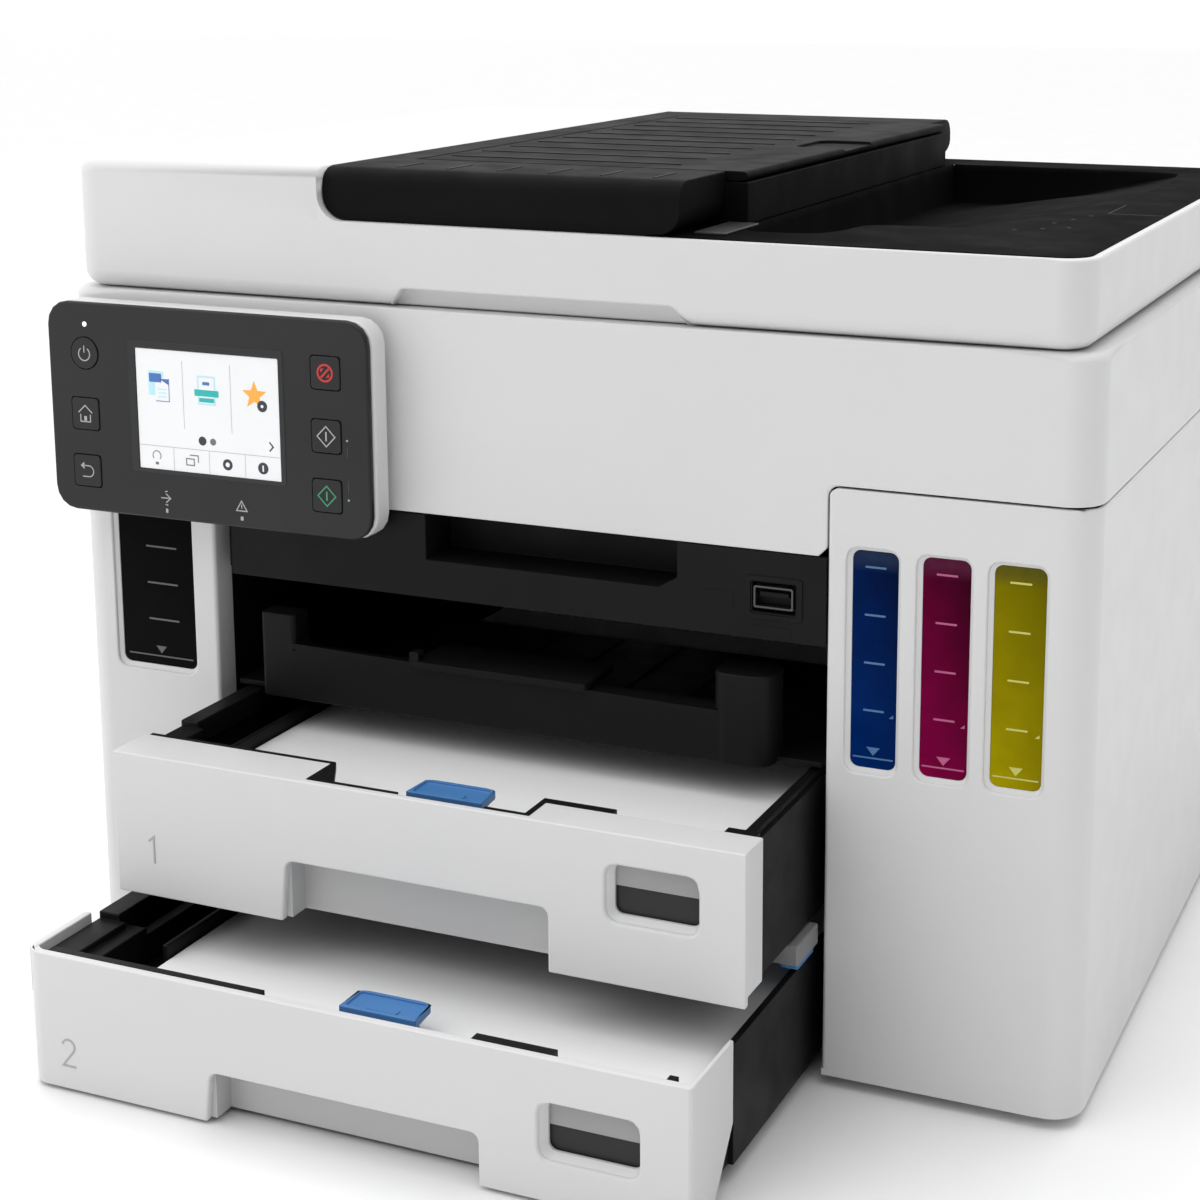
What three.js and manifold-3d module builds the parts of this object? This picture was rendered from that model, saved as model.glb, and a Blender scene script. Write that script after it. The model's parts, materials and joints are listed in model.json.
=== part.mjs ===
// Inkjet printer with two paper cassettes, four refillable ink tanks, a flatbed scanner and
// an automatic document feeder. Millimetres, +Z up, +X to the viewer's right and +Y to the back.
// The shapes are laid out with Y = 0 on the front plane of the casing. The whole group is then
// moved back so that the origin is at the middle of the footprint, on the floor.
import * as THREE from 'three';
import { mergeVertices } from 'three/addons/utils/BufferGeometryUtils.js';
import Module from 'manifold-3d';

const wasm = await Module();
wasm.setup();

// ---------------------------------------------------------------- driving dimensions
const WIDTH = 399;
const HALF = WIDTH / 2;
const DEPTH = 394;
const TOP_Z = 315;
const FOOT = 4;
const WALL = 2.4;
const CORNER = 12;
const GAP = 0.4;

const SEAM_Z = 216;          // top of the tank column and of the side walls
const FASCIA_Z = 191.6;      // lower edge of the white fascia above the output bay
const SCANNER_TOP = 266;     // top of the scanner box, under the document lid
const RIM_Z = 296;           // top of the lid's white rim
const REAR_Y = 332;          // where the rear housing starts
const REAR_TOP = 262;

const BAY_LEFT = -136.3;     // inner edge of the left column
const BAY_RIGHT = 109;       // left face of the tank column
const SLOT_LEFT = -149.2;    // the lower cassette's slot is wider on the left
const SLOT_TOP = 53;
const PANEL_Z = 160;         // lower edge of the black panel above the output bay

const PULL_1 = 71;           // how far each cassette stands out at rest
const PULL_2 = 107.5;
const PAPER_LEFT = -106.9;
const PAPER_WIDTH = 210;
const PAPER_LENGTH = 297;

const CONTROL = { left: -195.8, right: -57.4, bottom: 183.2, top: 263, front: -16.2 };
const BUTTON_SIDE = 12;
const COLUMN_BUTTONS_X = { left: -180, right: -75.1 };
const BUTTON_ROWS_Z = [243.8, 220.7, 198.8];

const WHITE = 0xdcdcdc;
const BLACK = 0x1b1b1d;
const GREY = 0x8d8f92;
const STEEL = 0xb4b6b8;

// ---------------------------------------------------------------- solids
function toSolid(geometry) {
  const bare = geometry.index ? geometry.toNonIndexed() : geometry.clone();
  bare.deleteAttribute('normal');
  bare.deleteAttribute('uv');
  const merged = mergeVertices(bare, 1e-4);
  return new wasm.Manifold(new wasm.Mesh({
    numProp: 3,
    vertProperties: new Float32Array(merged.attributes.position.array),
    triVerts: new Uint32Array(merged.index.array),
  }));
}

function toGeometry(solid) {
  const mesh = solid.getMesh();
  const geometry = new THREE.BufferGeometry();
  geometry.setAttribute('position', new THREE.BufferAttribute(new Float32Array(mesh.vertProperties), 3));
  geometry.setIndex(new THREE.BufferAttribute(new Uint32Array(mesh.triVerts), 1));
  return geometry;
}

// A box from its limits along X, Y and Z.
function box([x0, x1], [y0, y1], [z0, z1]) {
  const geometry = new THREE.BoxGeometry(x1 - x0, y1 - y0, z1 - z0);
  geometry.translate((x0 + x1) / 2, (y0 + y1) / 2, (z0 + z1) / 2);
  return toSolid(geometry);
}

// A closed outline through corner points [u, v, radius], with each corner rounded to its radius.
function outline(corners, steps = 8) {
  const points = [];
  corners.forEach(([u, v, radius = 0], index) => {
    const corner = new THREE.Vector2(u, v);
    if (radius === 0) {
      points.push(corner);
      return;
    }
    const before = corners[(index + corners.length - 1) % corners.length];
    const after = corners[(index + 1) % corners.length];
    const toBefore = new THREE.Vector2(before[0] - u, before[1] - v).normalize();
    const toAfter = new THREE.Vector2(after[0] - u, after[1] - v).normalize();
    const halfAngle = Math.acos(toBefore.dot(toAfter)) / 2;
    const reach = radius / Math.tan(halfAngle);
    const start = corner.clone().addScaledVector(toBefore, reach);
    const end = corner.clone().addScaledVector(toAfter, reach);
    const inward = toBefore.clone().add(toAfter).normalize();
    const centre = corner.clone().addScaledVector(inward, radius / Math.sin(halfAngle));
    const from = Math.atan2(start.y - centre.y, start.x - centre.x);
    let sweep = Math.atan2(end.y - centre.y, end.x - centre.x) - from;
    sweep -= 2 * Math.PI * Math.round(sweep / (2 * Math.PI));
    for (let step = 0; step <= steps; step += 1) {
      const angle = from + (sweep * step) / steps;
      points.push(new THREE.Vector2(
        centre.x + radius * Math.cos(angle),
        centre.y + radius * Math.sin(angle),
      ));
    }
  });
  return points;
}

function rectangle([u0, u1], [v0, v1], radius = 0, steps = 4) {
  return outline([[u0, v0, radius], [u1, v0, radius], [u1, v1, radius], [u0, v1, radius]], steps);
}

function circle(u, v, radius, segments = 24) {
  const points = [];
  for (let step = 0; step < segments; step += 1) {
    const angle = (2 * Math.PI * step) / segments;
    points.push(new THREE.Vector2(u + radius * Math.cos(angle), v + radius * Math.sin(angle)));
  }
  return points;
}

// Extrudes an outline along one axis: 'z' takes (x, y) points, 'y' takes (x, z), 'x' takes (y, z).
const PLANES = {
  z: { basis: [[1, 0, 0], [0, 1, 0], [0, 0, 1]], start: (low) => [0, 0, low] },
  y: { basis: [[1, 0, 0], [0, 0, 1], [0, -1, 0]], start: (low, high) => [0, high, 0] },
  x: { basis: [[0, 1, 0], [0, 0, 1], [1, 0, 0]], start: (low) => [low, 0, 0] },
};

function extrude(points, axis, [low, high]) {
  const geometry = new THREE.ExtrudeGeometry(new THREE.Shape(points), {
    depth: high - low,
    bevelEnabled: false,
  });
  const { basis, start } = PLANES[axis];
  const matrix = new THREE.Matrix4().makeBasis(...basis.map((vector) => new THREE.Vector3(...vector)));
  matrix.setPosition(...start(low, high));
  geometry.applyMatrix4(matrix);
  return toSolid(geometry);
}

// A turned piece along X: profile points are [distance along X, radius].
function turned(profile, centreY, centreZ, segments = 20) {
  const points = profile.map(([along, radius]) => new THREE.Vector2(radius, along));
  const geometry = new THREE.LatheGeometry(points, segments);
  geometry.rotateZ(-Math.PI / 2);
  geometry.translate(0, centreY, centreZ);
  return toSolid(geometry);
}

function cutAll(solid, cutters) {
  return cutters.reduce((rest, cutter) => rest.subtract(cutter), solid);
}

function joinAll(solids) {
  return solids.reduce((whole, solid) => whole.add(solid));
}

// ---------------------------------------------------------------- the assembly group
const printer = new THREE.Group();

function addNode(name, solid, color, roughness = 0.5, metalness = 0) {
  const material = new THREE.MeshStandardMaterial({ color, roughness, metalness });
  const mesh = new THREE.Mesh(toGeometry(solid), material);
  mesh.name = name;
  printer.add(mesh);
}

// ---------------------------------------------------------------- casing
const COLUMN_WINDOWS = [[115.6, 134.2], [140, 159], [164.3, 184.3]];
const BLACK_WINDOW = [-183.1, -146.8];
const WINDOW_Z = [117.2, 196];
const SIDE_BACK = REAR_Y - GAP;

function addBase() {
  const pan = box([-HALF + 3.2, BAY_RIGHT - GAP], [40, SIDE_BACK], [FOOT, FOOT + 2]);
  const tongue = box([SLOT_LEFT + 5.2, BAY_RIGHT - 6.6], [8, 42], [FOOT, FOOT + 2]);
  addNode('base_pan', pan.add(tongue), BLACK, 0.6);
  const feet = {
    foot_front_left: [-125, 22],
    foot_front_right: [150, 22],
    foot_rear_left: [-165, 300],
    foot_rear_right: [150, 300],
  };
  for (const [name, [x, y]] of Object.entries(feet)) {
    const pad = rectangle([x - 12, x + 12], [y - 7, y + 7], 4, 3);
    addNode(name, extrude(pad, 'z', [0, FOOT - 0.3]), BLACK, 0.9);
  }
}

function addLeftHousing() {
  const upperPlan = outline([
    [BAY_LEFT, 11], [BAY_LEFT, 0, 1.5], [-HALF, 0, CORNER], [-HALF, SIDE_BACK],
    [-HALF + WALL, SIDE_BACK], [-HALF + WALL, WALL, CORNER - WALL],
    [BAY_LEFT - WALL, WALL], [BAY_LEFT - WALL, 11],
  ]);
  const lowerPlan = outline([
    [SLOT_LEFT, 38], [SLOT_LEFT, 0, 1.5], [-HALF, 0, CORNER], [-HALF, SIDE_BACK],
    [-HALF + WALL, SIDE_BACK], [-HALF + WALL, WALL, CORNER - WALL],
    [SLOT_LEFT - WALL, WALL], [SLOT_LEFT - WALL, 38],
  ]);
  const shell = extrude(upperPlan, 'z', [SLOT_TOP, SEAM_Z - GAP])
    .add(extrude(lowerPlan, 'z', [FOOT, SLOT_TOP + 0.2]))
    .add(box([-192, BAY_LEFT], [1.6, 38], [SLOT_TOP, SLOT_TOP + WALL]));
  const window = extrude(rectangle(BLACK_WINDOW, WINDOW_Z, 4, 3), 'y', [-1, WALL + 1]);
  addNode('left_housing', shell.subtract(window), WHITE, 0.45);
}

function addRightHousing() {
  const plan = outline([
    [BAY_RIGHT, 60], [BAY_RIGHT, 0, 1.5], [HALF, 0, CORNER], [HALF, SIDE_BACK],
    [HALF - WALL, SIDE_BACK], [HALF - WALL, WALL, CORNER - WALL],
    [BAY_RIGHT + WALL, WALL], [BAY_RIGHT + WALL, 60],
  ]);
  const floorPlan = outline([[BAY_RIGHT, 0], [HALF, 0, CORNER], [HALF, SIDE_BACK], [BAY_RIGHT, SIDE_BACK]]);
  const shell = extrude(plan, 'z', [FOOT, SEAM_Z - GAP]).add(extrude(floorPlan, 'z', [FOOT, FOOT + WALL]));
  const windows = COLUMN_WINDOWS.map((span) => (
    extrude(rectangle(span, WINDOW_Z, 4, 3), 'y', [-1, WALL + 1])
  ));
  addNode('right_housing', cutAll(shell, windows), WHITE, 0.45);
}

const SERVICE_HOLE = { x: [30, 160], z: [48, 118] };
const INLET_HOLE = { x: [-186, -156], z: [70, 92] };
const REAR_SLOT = { x: [-112, 112], y: [346, 376] };

function addRearHousing() {
  const plan = outline([
    [-HALF, REAR_Y], [-HALF, DEPTH, CORNER], [HALF, DEPTH, CORNER], [HALF, REAR_Y],
    [HALF - WALL, REAR_Y], [HALF - WALL, DEPTH - WALL, CORNER - WALL],
    [-HALF + WALL, DEPTH - WALL, CORNER - WALL], [-HALF + WALL, REAR_Y],
  ]);
  const deck = outline([[-HALF, REAR_Y], [-HALF, DEPTH, CORNER], [HALF, DEPTH, CORNER], [HALF, REAR_Y]]);
  const shell = joinAll([
    extrude(plan, 'z', [FOOT, REAR_TOP]),
    extrude(deck, 'z', [REAR_TOP - WALL, REAR_TOP]),
    extrude(deck, 'z', [FOOT, FOOT + WALL]),
    box([-HALF, HALF], [REAR_Y, REAR_Y + WALL], [SEAM_Z, REAR_TOP]),
  ]);
  addNode('rear_housing', cutAll(shell, [
    extrude(rectangle(SERVICE_HOLE.x, SERVICE_HOLE.z, 3, 3), 'y', [DEPTH - 5, DEPTH + 1]),
    extrude(rectangle(INLET_HOLE.x, INLET_HOLE.z, 2, 2), 'y', [DEPTH - 5, DEPTH + 1]),
    extrude(rectangle(REAR_SLOT.x, REAR_SLOT.y, 4, 3), 'z', [REAR_TOP - 5, REAR_TOP + 1]),
  ]), WHITE, 0.5);
  const trayCover = rectangle([-125, 125], [339, 386.8], 1.2, 2);
  addNode('rear_tray_cover', extrude(trayCover, 'z', [262.7, 265.7]), WHITE, 0.5);
  addNode('maintenance_cover', extrude(rectangle(
    [SERVICE_HOLE.x[0] + GAP, SERVICE_HOLE.x[1] - GAP],
    [SERVICE_HOLE.z[0] + GAP, SERVICE_HOLE.z[1] - GAP],
    2.6,
    3,
  ), 'y', [DEPTH - 2.1, DEPTH]), WHITE, 0.5);
}

// ---------------------------------------------------------------- panel above the output bay
const GRIP = { left: -44.8, right: 54, bottom: 174.4, depth: 19.6 };
const USB_HOLE = { x: [82, 97.6], z: [169.9, 180.3] };

function addUsbPanel() {
  const plate = box([BAY_LEFT + GAP, BAY_RIGHT - GAP], [0, 3], [PANEL_Z, FASCIA_Z - GAP]);
  const pocketBox = box(
    [GRIP.left - WALL, GRIP.right + WALL],
    [0, GRIP.depth + WALL],
    [GRIP.bottom - WALL, FASCIA_Z - GAP],
  );
  const pocket = extrude(outline([
    [GRIP.left, FASCIA_Z + 1], [GRIP.left, GRIP.bottom], [GRIP.right - 7, GRIP.bottom],
    [GRIP.right, GRIP.bottom + 4], [GRIP.right, FASCIA_Z + 1],
  ]), 'y', [-1, GRIP.depth]);
  const hole = box(USB_HOLE.x, [-1, 4], USB_HOLE.z);
  addNode('usb_panel', cutAll(plate.add(pocketBox), [pocket, hole]), BLACK, 0.4);

  const shell = box(
    [USB_HOLE.x[0] + GAP, USB_HOLE.x[1] - GAP],
    [-0.6, 14],
    [USB_HOLE.z[0] + GAP, USB_HOLE.z[1] - GAP],
  );
  const mouth = box(
    [USB_HOLE.x[0] + GAP + 0.7, USB_HOLE.x[1] - GAP - 0.7],
    [-1, 12],
    [USB_HOLE.z[0] + GAP + 0.7, USB_HOLE.z[1] - GAP - 0.7],
  );
  const tongue = box(
    [USB_HOLE.x[0] + 2, USB_HOLE.x[1] - 2],
    [2, 12.5],
    [USB_HOLE.z[0] + 1.6, USB_HOLE.z[0] + 3.4],
  );
  addNode('usb_port', shell.subtract(mouth).add(tongue), STEEL, 0.3, 1);
}

// ---------------------------------------------------------------- inner frame and print mechanism
function addChassis() {
  const leftX = [BAY_LEFT - 2.1, BAY_LEFT - 0.3];
  const rightX = [BAY_RIGHT + 0.3, BAY_RIGHT + 2.1];
  const lowLeftX = [SLOT_LEFT - 2.1, SLOT_LEFT - 0.3];
  const frame = joinAll([
    box(leftX, [11.4, 330], [SLOT_TOP + 3, 164.8]),
    box(lowLeftX, [38.4, 330], [FOOT + 2.4, SLOT_TOP + 5]),
    box([lowLeftX[0], leftX[1]], [38.4, 330], [SLOT_TOP + 3, SLOT_TOP + 5]),
    box(rightX, [60.4, 330], [FOOT + 2.8, 164.8]),
    box([leftX[0], rightX[1]], [328.2, 330], [118, 164.8]),
    box([leftX[0], rightX[1]], [134, 168], [156, 159.4]),
    box([leftX[0], BAY_RIGHT - GAP], [26, 62], [162.6, 164.8]),
    box([leftX[0], rightX[1]], [61, 118], [162.6, 164.8]),
  ]);
  const headPath = box([-190, 190], [118.2, 204], [159.4, 170]);
  addNode('chassis', frame.subtract(headPath), BLACK, 0.55);

  const rail = outline([[205, 165.3], [216, 165.3], [216, 167.1], [206.8, 167.1], [206.8, 190], [205, 190]]);
  addNode('guide_rail', extrude(rail, 'x', [-192, 192]), STEEL, 0.35, 1);
}

function addRollers() {
  const feed = [
    [-133, 0], [-133, 8.4], [-127, 8.4], [-127, 4], [-118, 4],
    [-118, 6], [100, 6], [100, 4], [105, 4], [105, 0],
  ];
  addNode('feed_roller', turned(feed, 178, 152.5), BLACK, 0.7);
  const exit = [[-133, 0], [-133, 3]];
  for (let x = -100; x <= 80; x += 60) {
    exit.push([x - 6, 3], [x - 6, 5], [x + 6, 5], [x + 6, 3]);
  }
  exit.push([105, 3], [105, 0]);
  addNode('exit_roller', turned(exit, 126, 156, 14), BLACK, 0.7);

  const armSide = outline([[250, 131, 6], [256, 120, 6], [206, 105, 6], [199, 116, 6]], 3);
  const bore = extrude(circle(205, 111.4, 3.4, 16), 'x', [-20, -10]);
  const arm = extrude(armSide, 'x', [-17, -12]).subtract(bore);
  const pivotShaft = extrude(circle(250, 125, 4, 16), 'x', [-30, 30]);
  addNode('pickup_arm', arm.add(pivotShaft), GREY, 0.5);
  const roller = [[-19, 0], [-19, 3], [-11.4, 3], [-11.4, 10], [11.4, 10], [11.4, 3], [13, 3], [13, 0]];
  addNode('pickup_roller', turned(roller, 205, 111.4, 20), BLACK, 0.9);
}

function addCarriage() {
  const body = joinAll([
    box([120, 190], [142, 204.6], [171, 206]),
    box([130, 180], [203, 214.6], [191, 197]),
    box([130, 180], [213, 218], [185, 197]),
  ]);
  addNode('carriage', body, BLACK, 0.5);
  addNode('printhead', box([126, 184], [146, 198], [161.4, 170.6]), GREY, 0.4);
  const beltPlan = rectangle([-186, 186], [220, 232], 6, 5);
  const beltHole = rectangle([-184.8, 184.8], [221.2, 230.8], 4.8, 5);
  const belt = extrude(beltPlan, 'z', [178, 183]).subtract(extrude(beltHole, 'z', [177, 184]));
  addNode('carriage_belt', belt, BLACK, 0.8);
}

function addElectronics() {
  const supply = box([-192, -156], [116, 372], [60, 150]);
  const inlet = extrude(rectangle(
    [INLET_HOLE.x[0] + GAP, INLET_HOLE.x[1] - GAP],
    [INLET_HOLE.z[0] + GAP, INLET_HOLE.z[1] - GAP],
    2,
    2,
  ), 'y', [370, DEPTH - GAP]);
  const mouth = extrude(rectangle([-182.5, -159.5], [73.2, 88.8], 1.5, 2), 'y', [DEPTH - 14, DEPTH + 1]);
  addNode('power_supply', supply.add(inlet).subtract(mouth), BLACK, 0.5);
  addNode('mainboard', box([-80, 100], [334.8, 336.6], [130, 250]), 0x1d5b38, 0.6);
  addNode('maintenance_cartridge', joinAll([
    box([44, 146], [340, 384], [54, 112]),
    box([80, 110], [383, 389], [76, 90]),
  ]), BLACK, 0.6);
}

// ---------------------------------------------------------------- ink tanks
const TANK_COLORS = { black: 0x161618, cyan: 0x01205e, magenta: 0x6d0038, yellow: 0x8d8400 };
const NECK_Y = 84;

function addTank(color, [x0, x1], windowSpan) {
  const front = box([x0, x1], [4.2, 44], [104, 200]);
  const rear = box([x0, x1], [43, 112], [104, 172]);
  const pad = extrude(rectangle(
    [windowSpan[0] + 1.6, windowSpan[1] - 0.8],
    [WINDOW_Z[0] + 1.6, WINDOW_Z[1] - 1],
    3,
    3,
  ), 'y', [2, 5]);
  const middle = (x0 + x1) / 2;
  const neck = extrude(circle(middle, NECK_Y, 8, 16), 'z', [171, 178]);
  addNode(`ink_tank_${color}`, joinAll([front, rear, pad, neck]), TANK_COLORS[color], 0.2);
  const cap = rectangle([middle - 10, middle + 10], [NECK_Y - 14, NECK_Y + 16], 3, 3);
  addNode(`tank_cap_${color}`, extrude(cap, 'z', [178.5, 184]), TANK_COLORS[color], 0.4);
}

function addTanks() {
  addTank('black', [-191, -145], BLACK_WINDOW);
  addTank('cyan', [112.4, 137.4], COLUMN_WINDOWS[0]);
  addTank('magenta', [138.2, 161.8], COLUMN_WINDOWS[1]);
  addTank('yellow', [162.6, 188], COLUMN_WINDOWS[2]);
}

// ---------------------------------------------------------------- cassettes
function addUpperCassette() {
  const front = -PULL_1;
  const [x0, x1] = [BAY_LEFT + 2.9, BAY_RIGHT - 1.2];
  const [z0, z1] = [60.4, 112.8];
  const notch = { x: [-62.5, 38], top: 82.7 };
  const wide = 19.4;
  const narrow = 15.6;
  const plate = extrude(outline([
    [x0, z0], [notch.x[0] - 2, z0], [notch.x[0], notch.top, 3], [notch.x[1], notch.top, 3],
    [notch.x[1], z0], [x1, z0], [x1, z1], [x0, z1],
  ], 3), 'y', [front, front + 3]);
  const window = extrude(rectangle([58.9, 91.6], [82, 101.8], 4, 3), 'y', [front - 1, front + 4]);
  const face = joinAll([
    plate,
    box([x0, -55], [front, front + wide], [z1 - 2.4, z1]),
    box([-56, 31], [front, front + 3], [z1 - 6, z1]),
    box([30.2, x1], [front, front + narrow], [z1 - 2.4, z1]),
    box([x0, x0 + 2.4], [front, front + wide], [z0, z1]),
    box([x1 - 2.4, x1], [front, front + narrow], [z0 + 3, z1]),
  ]);
  addNode('cassette_1_front', face.subtract(window), WHITE, 0.45);

  const back = front + 330;
  const trayX = [-130.4, 104.8];
  const bottom = 62;
  const rimZ = z1 - 2.8;
  const floorZ = 90.2;
  const inner = [front + 5.8, back - WALL];
  const tray = box(trayX, [front + 3.4, back], [bottom, rimZ]);
  addNode('cassette_1_tray', cutAll(tray, [
    box([trayX[0] + WALL, trayX[1] - 1.4], inner, [floorZ, rimZ + 1]),
    box([trayX[0] + WALL, trayX[1] - WALL], [front + 14, inner[1]], [bottom - 1, floorZ - 2.4]),
    box([notch.x[0], notch.x[1]], [front, front + 11.6], [bottom - 1, notch.top + 1]),
    box([trayX[0] - 1, trayX[1] + 1], [back - 10, back + 1], [100.2, rimZ + 1]),
    box([57, 93], [front, front + 8], [81, 103]),
    box([-24, 14], [front, front + 8], [floorZ, rimZ + 1]),
  ]), BLACK, 0.5);
  addPaperAndGuides('cassette_1', front + 9.4, floorZ, PAPER_LEFT, 100.8, z1, [-18, 11]);
}

function addLowerCassette() {
  const front = -PULL_2;
  const [x0, x1] = [SLOT_LEFT + 1.7, 104.8];
  const [z0, z1] = [1.2, 50.5];
  const notch = { x: [-71.5, 30.5], top: 19.3 };
  const wrap = 34.7;
  const plan = outline([
    [x0, front + wrap], [x0, front, 7], [x1, front, 1.5], [x1, front + wrap],
    [x1 - 1.6, front + wrap], [x1 - 1.6, front + 3], [x0 + 3, front + 3], [x0 + 3, front + wrap],
  ]);
  const band = extrude(plan, 'z', [z0, z1]);
  const notchCut = extrude(outline([
    [notch.x[0] - 2, z0 - 1], [notch.x[0], notch.top, 3], [notch.x[1], notch.top, 3], [notch.x[1], z0 - 1],
  ], 3), 'y', [front - 1, front + 4]);
  const window = extrude(rectangle([52, 87], [15.5, 35.2], 4, 3), 'y', [front - 1, front + 4]);
  const taper = extrude(outline([
    [front + 18, z0 - 1], [front + wrap + 1, z0 - 1], [front + wrap + 1, z0 + 22],
  ]), 'x', [x1 - 10, x1 + 1]);
  addNode('cassette_2_front', cutAll(band, [notchCut, window, taper]), WHITE, 0.45);

  const back = front + 330;
  const trayX = [x0 + 3.4, x1 - 2];
  const bottom = 6.6;
  const rimZ = z1 - 2;
  const floorZ = 31;
  const inner = [front + 5.8, back - WALL];
  const tray = box(trayX, [front + 3.4, back], [bottom, rimZ])
    .add(box([trayX[1] - 1, x1 - 0.2], [front + wrap + GAP, back], [bottom, rimZ]));
  addNode('cassette_2_tray', cutAll(tray, [
    box([trayX[0] + WALL, trayX[1] - 0.6], inner, [floorZ, rimZ + 1]),
    box([trayX[0] + WALL, trayX[1] - WALL], [front + 14, inner[1]], [bottom - 1, floorZ - 2.4]),
    box([notch.x[0], notch.x[1]], [front, front + 11.6], [bottom - 1, notch.top + 1]),
    box([trayX[0] - 1, trayX[1] + 1], [back - 10, back + 1], [41.2, rimZ + 1]),
    box([50, 89], [front, front + 8], [14.5, 36.2]),
    box([-28, 10], [front, front + 8], [floorZ, rimZ + 1]),
  ]), BLACK, 0.5);
  addPaperAndGuides('cassette_2', front + 9.4, floorZ, PAPER_LEFT - 1.2, 41.1, z1, [-24, 5]);
}

// A stack of paper, the sliding guide at its left edge and the blue guide at its front edge,
// whose flat pad lies level with the top of the cassette's front.
function addPaperAndGuides(prefix, frontY, floorZ, paperLeft, paperTop, padTop, padX) {
  const paperFront = frontY + 2;
  const sheetBottom = floorZ + 0.3;
  addNode(`${prefix}_paper`, box(
    [paperLeft, paperLeft + PAPER_WIDTH],
    [paperFront, paperFront + PAPER_LENGTH],
    [sheetBottom, paperTop],
  ), 0xf4f4f2, 0.8);
  const guideX = paperLeft - GAP;
  addNode(`${prefix}_side_guide`, joinAll([
    box([guideX - 2, guideX], [20 + frontY, 150 + frontY], [sheetBottom, paperTop + 5]),
    box([guideX - 14, guideX - 1], [60 + frontY, 100 + frontY], [sheetBottom, sheetBottom + 3]),
  ]), BLACK, 0.5);
  const pad = outline([
    [padX[0], paperFront - 5], [padX[1], paperFront - 5],
    [padX[1] - 1, paperFront + 8, 2], [padX[0] + 1, paperFront + 8, 2],
  ], 3);
  addNode(`${prefix}_end_guide`, joinAll([
    box([padX[0] + 1, padX[1] - 1], [paperFront - 3.4, paperFront - GAP], [sheetBottom, padTop - 2]),
    extrude(pad, 'z', [padTop - 3, padTop]),
  ]), 0x2c64b4, 0.4);
}

// ---------------------------------------------------------------- output tray
function addOutputTray() {
  const low = 113.6;
  const postTop = 146.5;
  const barTop = 133;
  addNode('output_tray', joinAll([
    box([-133, 105], [8, 112], [low, low + 2.2]),
    box([-110, 80], [0, 9], [low, barTop]),
    extrude(outline([[-117, 0, 2], [-102, 0, 2], [-102, 10], [-117, 10]], 3), 'z', [low, postTop]),
    extrude(outline([[67, -1, 6], [88.6, -1, 7], [88.6, 16, 3], [67, 16, 3]], 4), 'z', [low, postTop]),
  ]), BLACK, 0.45);
  const support = rectangle([-50, 20], [-3, 21.5], 1.2, 2);
  addNode('output_support', extrude(support, 'z', [133.6, 136.2]), BLACK, 0.45);
}

// ---------------------------------------------------------------- scanner unit
const SCANNER_BACK = 329.6;
const GLASS = { x: [-150, 165], y: [28, 260] };

function addScanner() {
  const plan = outline([
    [-HALF, 0, CORNER], [HALF, 0, CORNER], [HALF, SCANNER_BACK, 2], [-HALF, SCANNER_BACK, 2],
  ]);
  const lip = extrude(outline([
    [BAY_LEFT + GAP, FASCIA_Z], [BAY_RIGHT - GAP - 3, FASCIA_Z], [BAY_RIGHT - GAP, FASCIA_Z + 3],
    [BAY_RIGHT - GAP, SEAM_Z + 2], [BAY_LEFT + GAP, SEAM_Z + 2],
  ]), 'y', [0, 3]);
  const outer = extrude(plan, 'z', [SEAM_Z + GAP, SCANNER_TOP]).add(lip);
  const cavity = extrude(outline([
    [-HALF + 3, 3, CORNER - 3], [HALF - 3, 3, CORNER - 3],
    [HALF - 3, SCANNER_BACK - 3], [-HALF + 3, SCANNER_BACK - 3],
  ]), 'z', [SEAM_Z + 3, SCANNER_TOP - 3.6]);
  const opening = box(
    [GLASS.x[0] - GAP, GLASS.x[1] + GAP],
    [GLASS.y[0] - GAP, GLASS.y[1] + GAP],
    [SCANNER_TOP - 5, SCANNER_TOP + 1],
  );
  const ledgeOuter = box(
    [GLASS.x[0] - 4, GLASS.x[1] + 4],
    [GLASS.y[0] - 4, GLASS.y[1] + 4],
    [SCANNER_TOP - 5.6, SCANNER_TOP - 3.6],
  );
  const ledgeHole = box(
    [GLASS.x[0] + 3, GLASS.x[1] - 3],
    [GLASS.y[0] + 3, GLASS.y[1] - 3],
    [SCANNER_TOP - 6, SCANNER_TOP],
  );
  const ledge = ledgeOuter.subtract(ledgeHole);
  addNode('scanner_housing', cutAll(outer, [cavity, opening]).add(ledge), WHITE, 0.45);
  addNode('scanner_glass', box(GLASS.x, GLASS.y, [SCANNER_TOP - 3.3, SCANNER_TOP - 0.4]), 0xb9c6c9, 0.05);
  addNode('scan_bar', box([-140, -118], [20, 275], [SEAM_Z + 8, SCANNER_TOP - 7]), BLACK, 0.4);
}

// ---------------------------------------------------------------- control panel
function buttonOutline(x, z, half, round) {
  return round ? circle(x, z, half, 20) : rectangle([x - half, x + half], [z - half, z + half], 1.2, 2);
}

const BUTTONS = {
  power_button: [COLUMN_BUTTONS_X.left + 0.8, BUTTON_ROWS_Z[0], true],
  home_button: [COLUMN_BUTTONS_X.left, BUTTON_ROWS_Z[1], false],
  back_button: [COLUMN_BUTTONS_X.left - 0.4, BUTTON_ROWS_Z[2], false],
  stop_button: [COLUMN_BUTTONS_X.right + 0.3, BUTTON_ROWS_Z[0], false],
  black_start_button: [COLUMN_BUTTONS_X.right, BUTTON_ROWS_Z[1], false],
  color_start_button: [COLUMN_BUTTONS_X.right - 0.4, BUTTON_ROWS_Z[2], false],
};
const SCREEN = { x: [-156.7, -94.5], z: [201.9, 247.7] };

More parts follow.
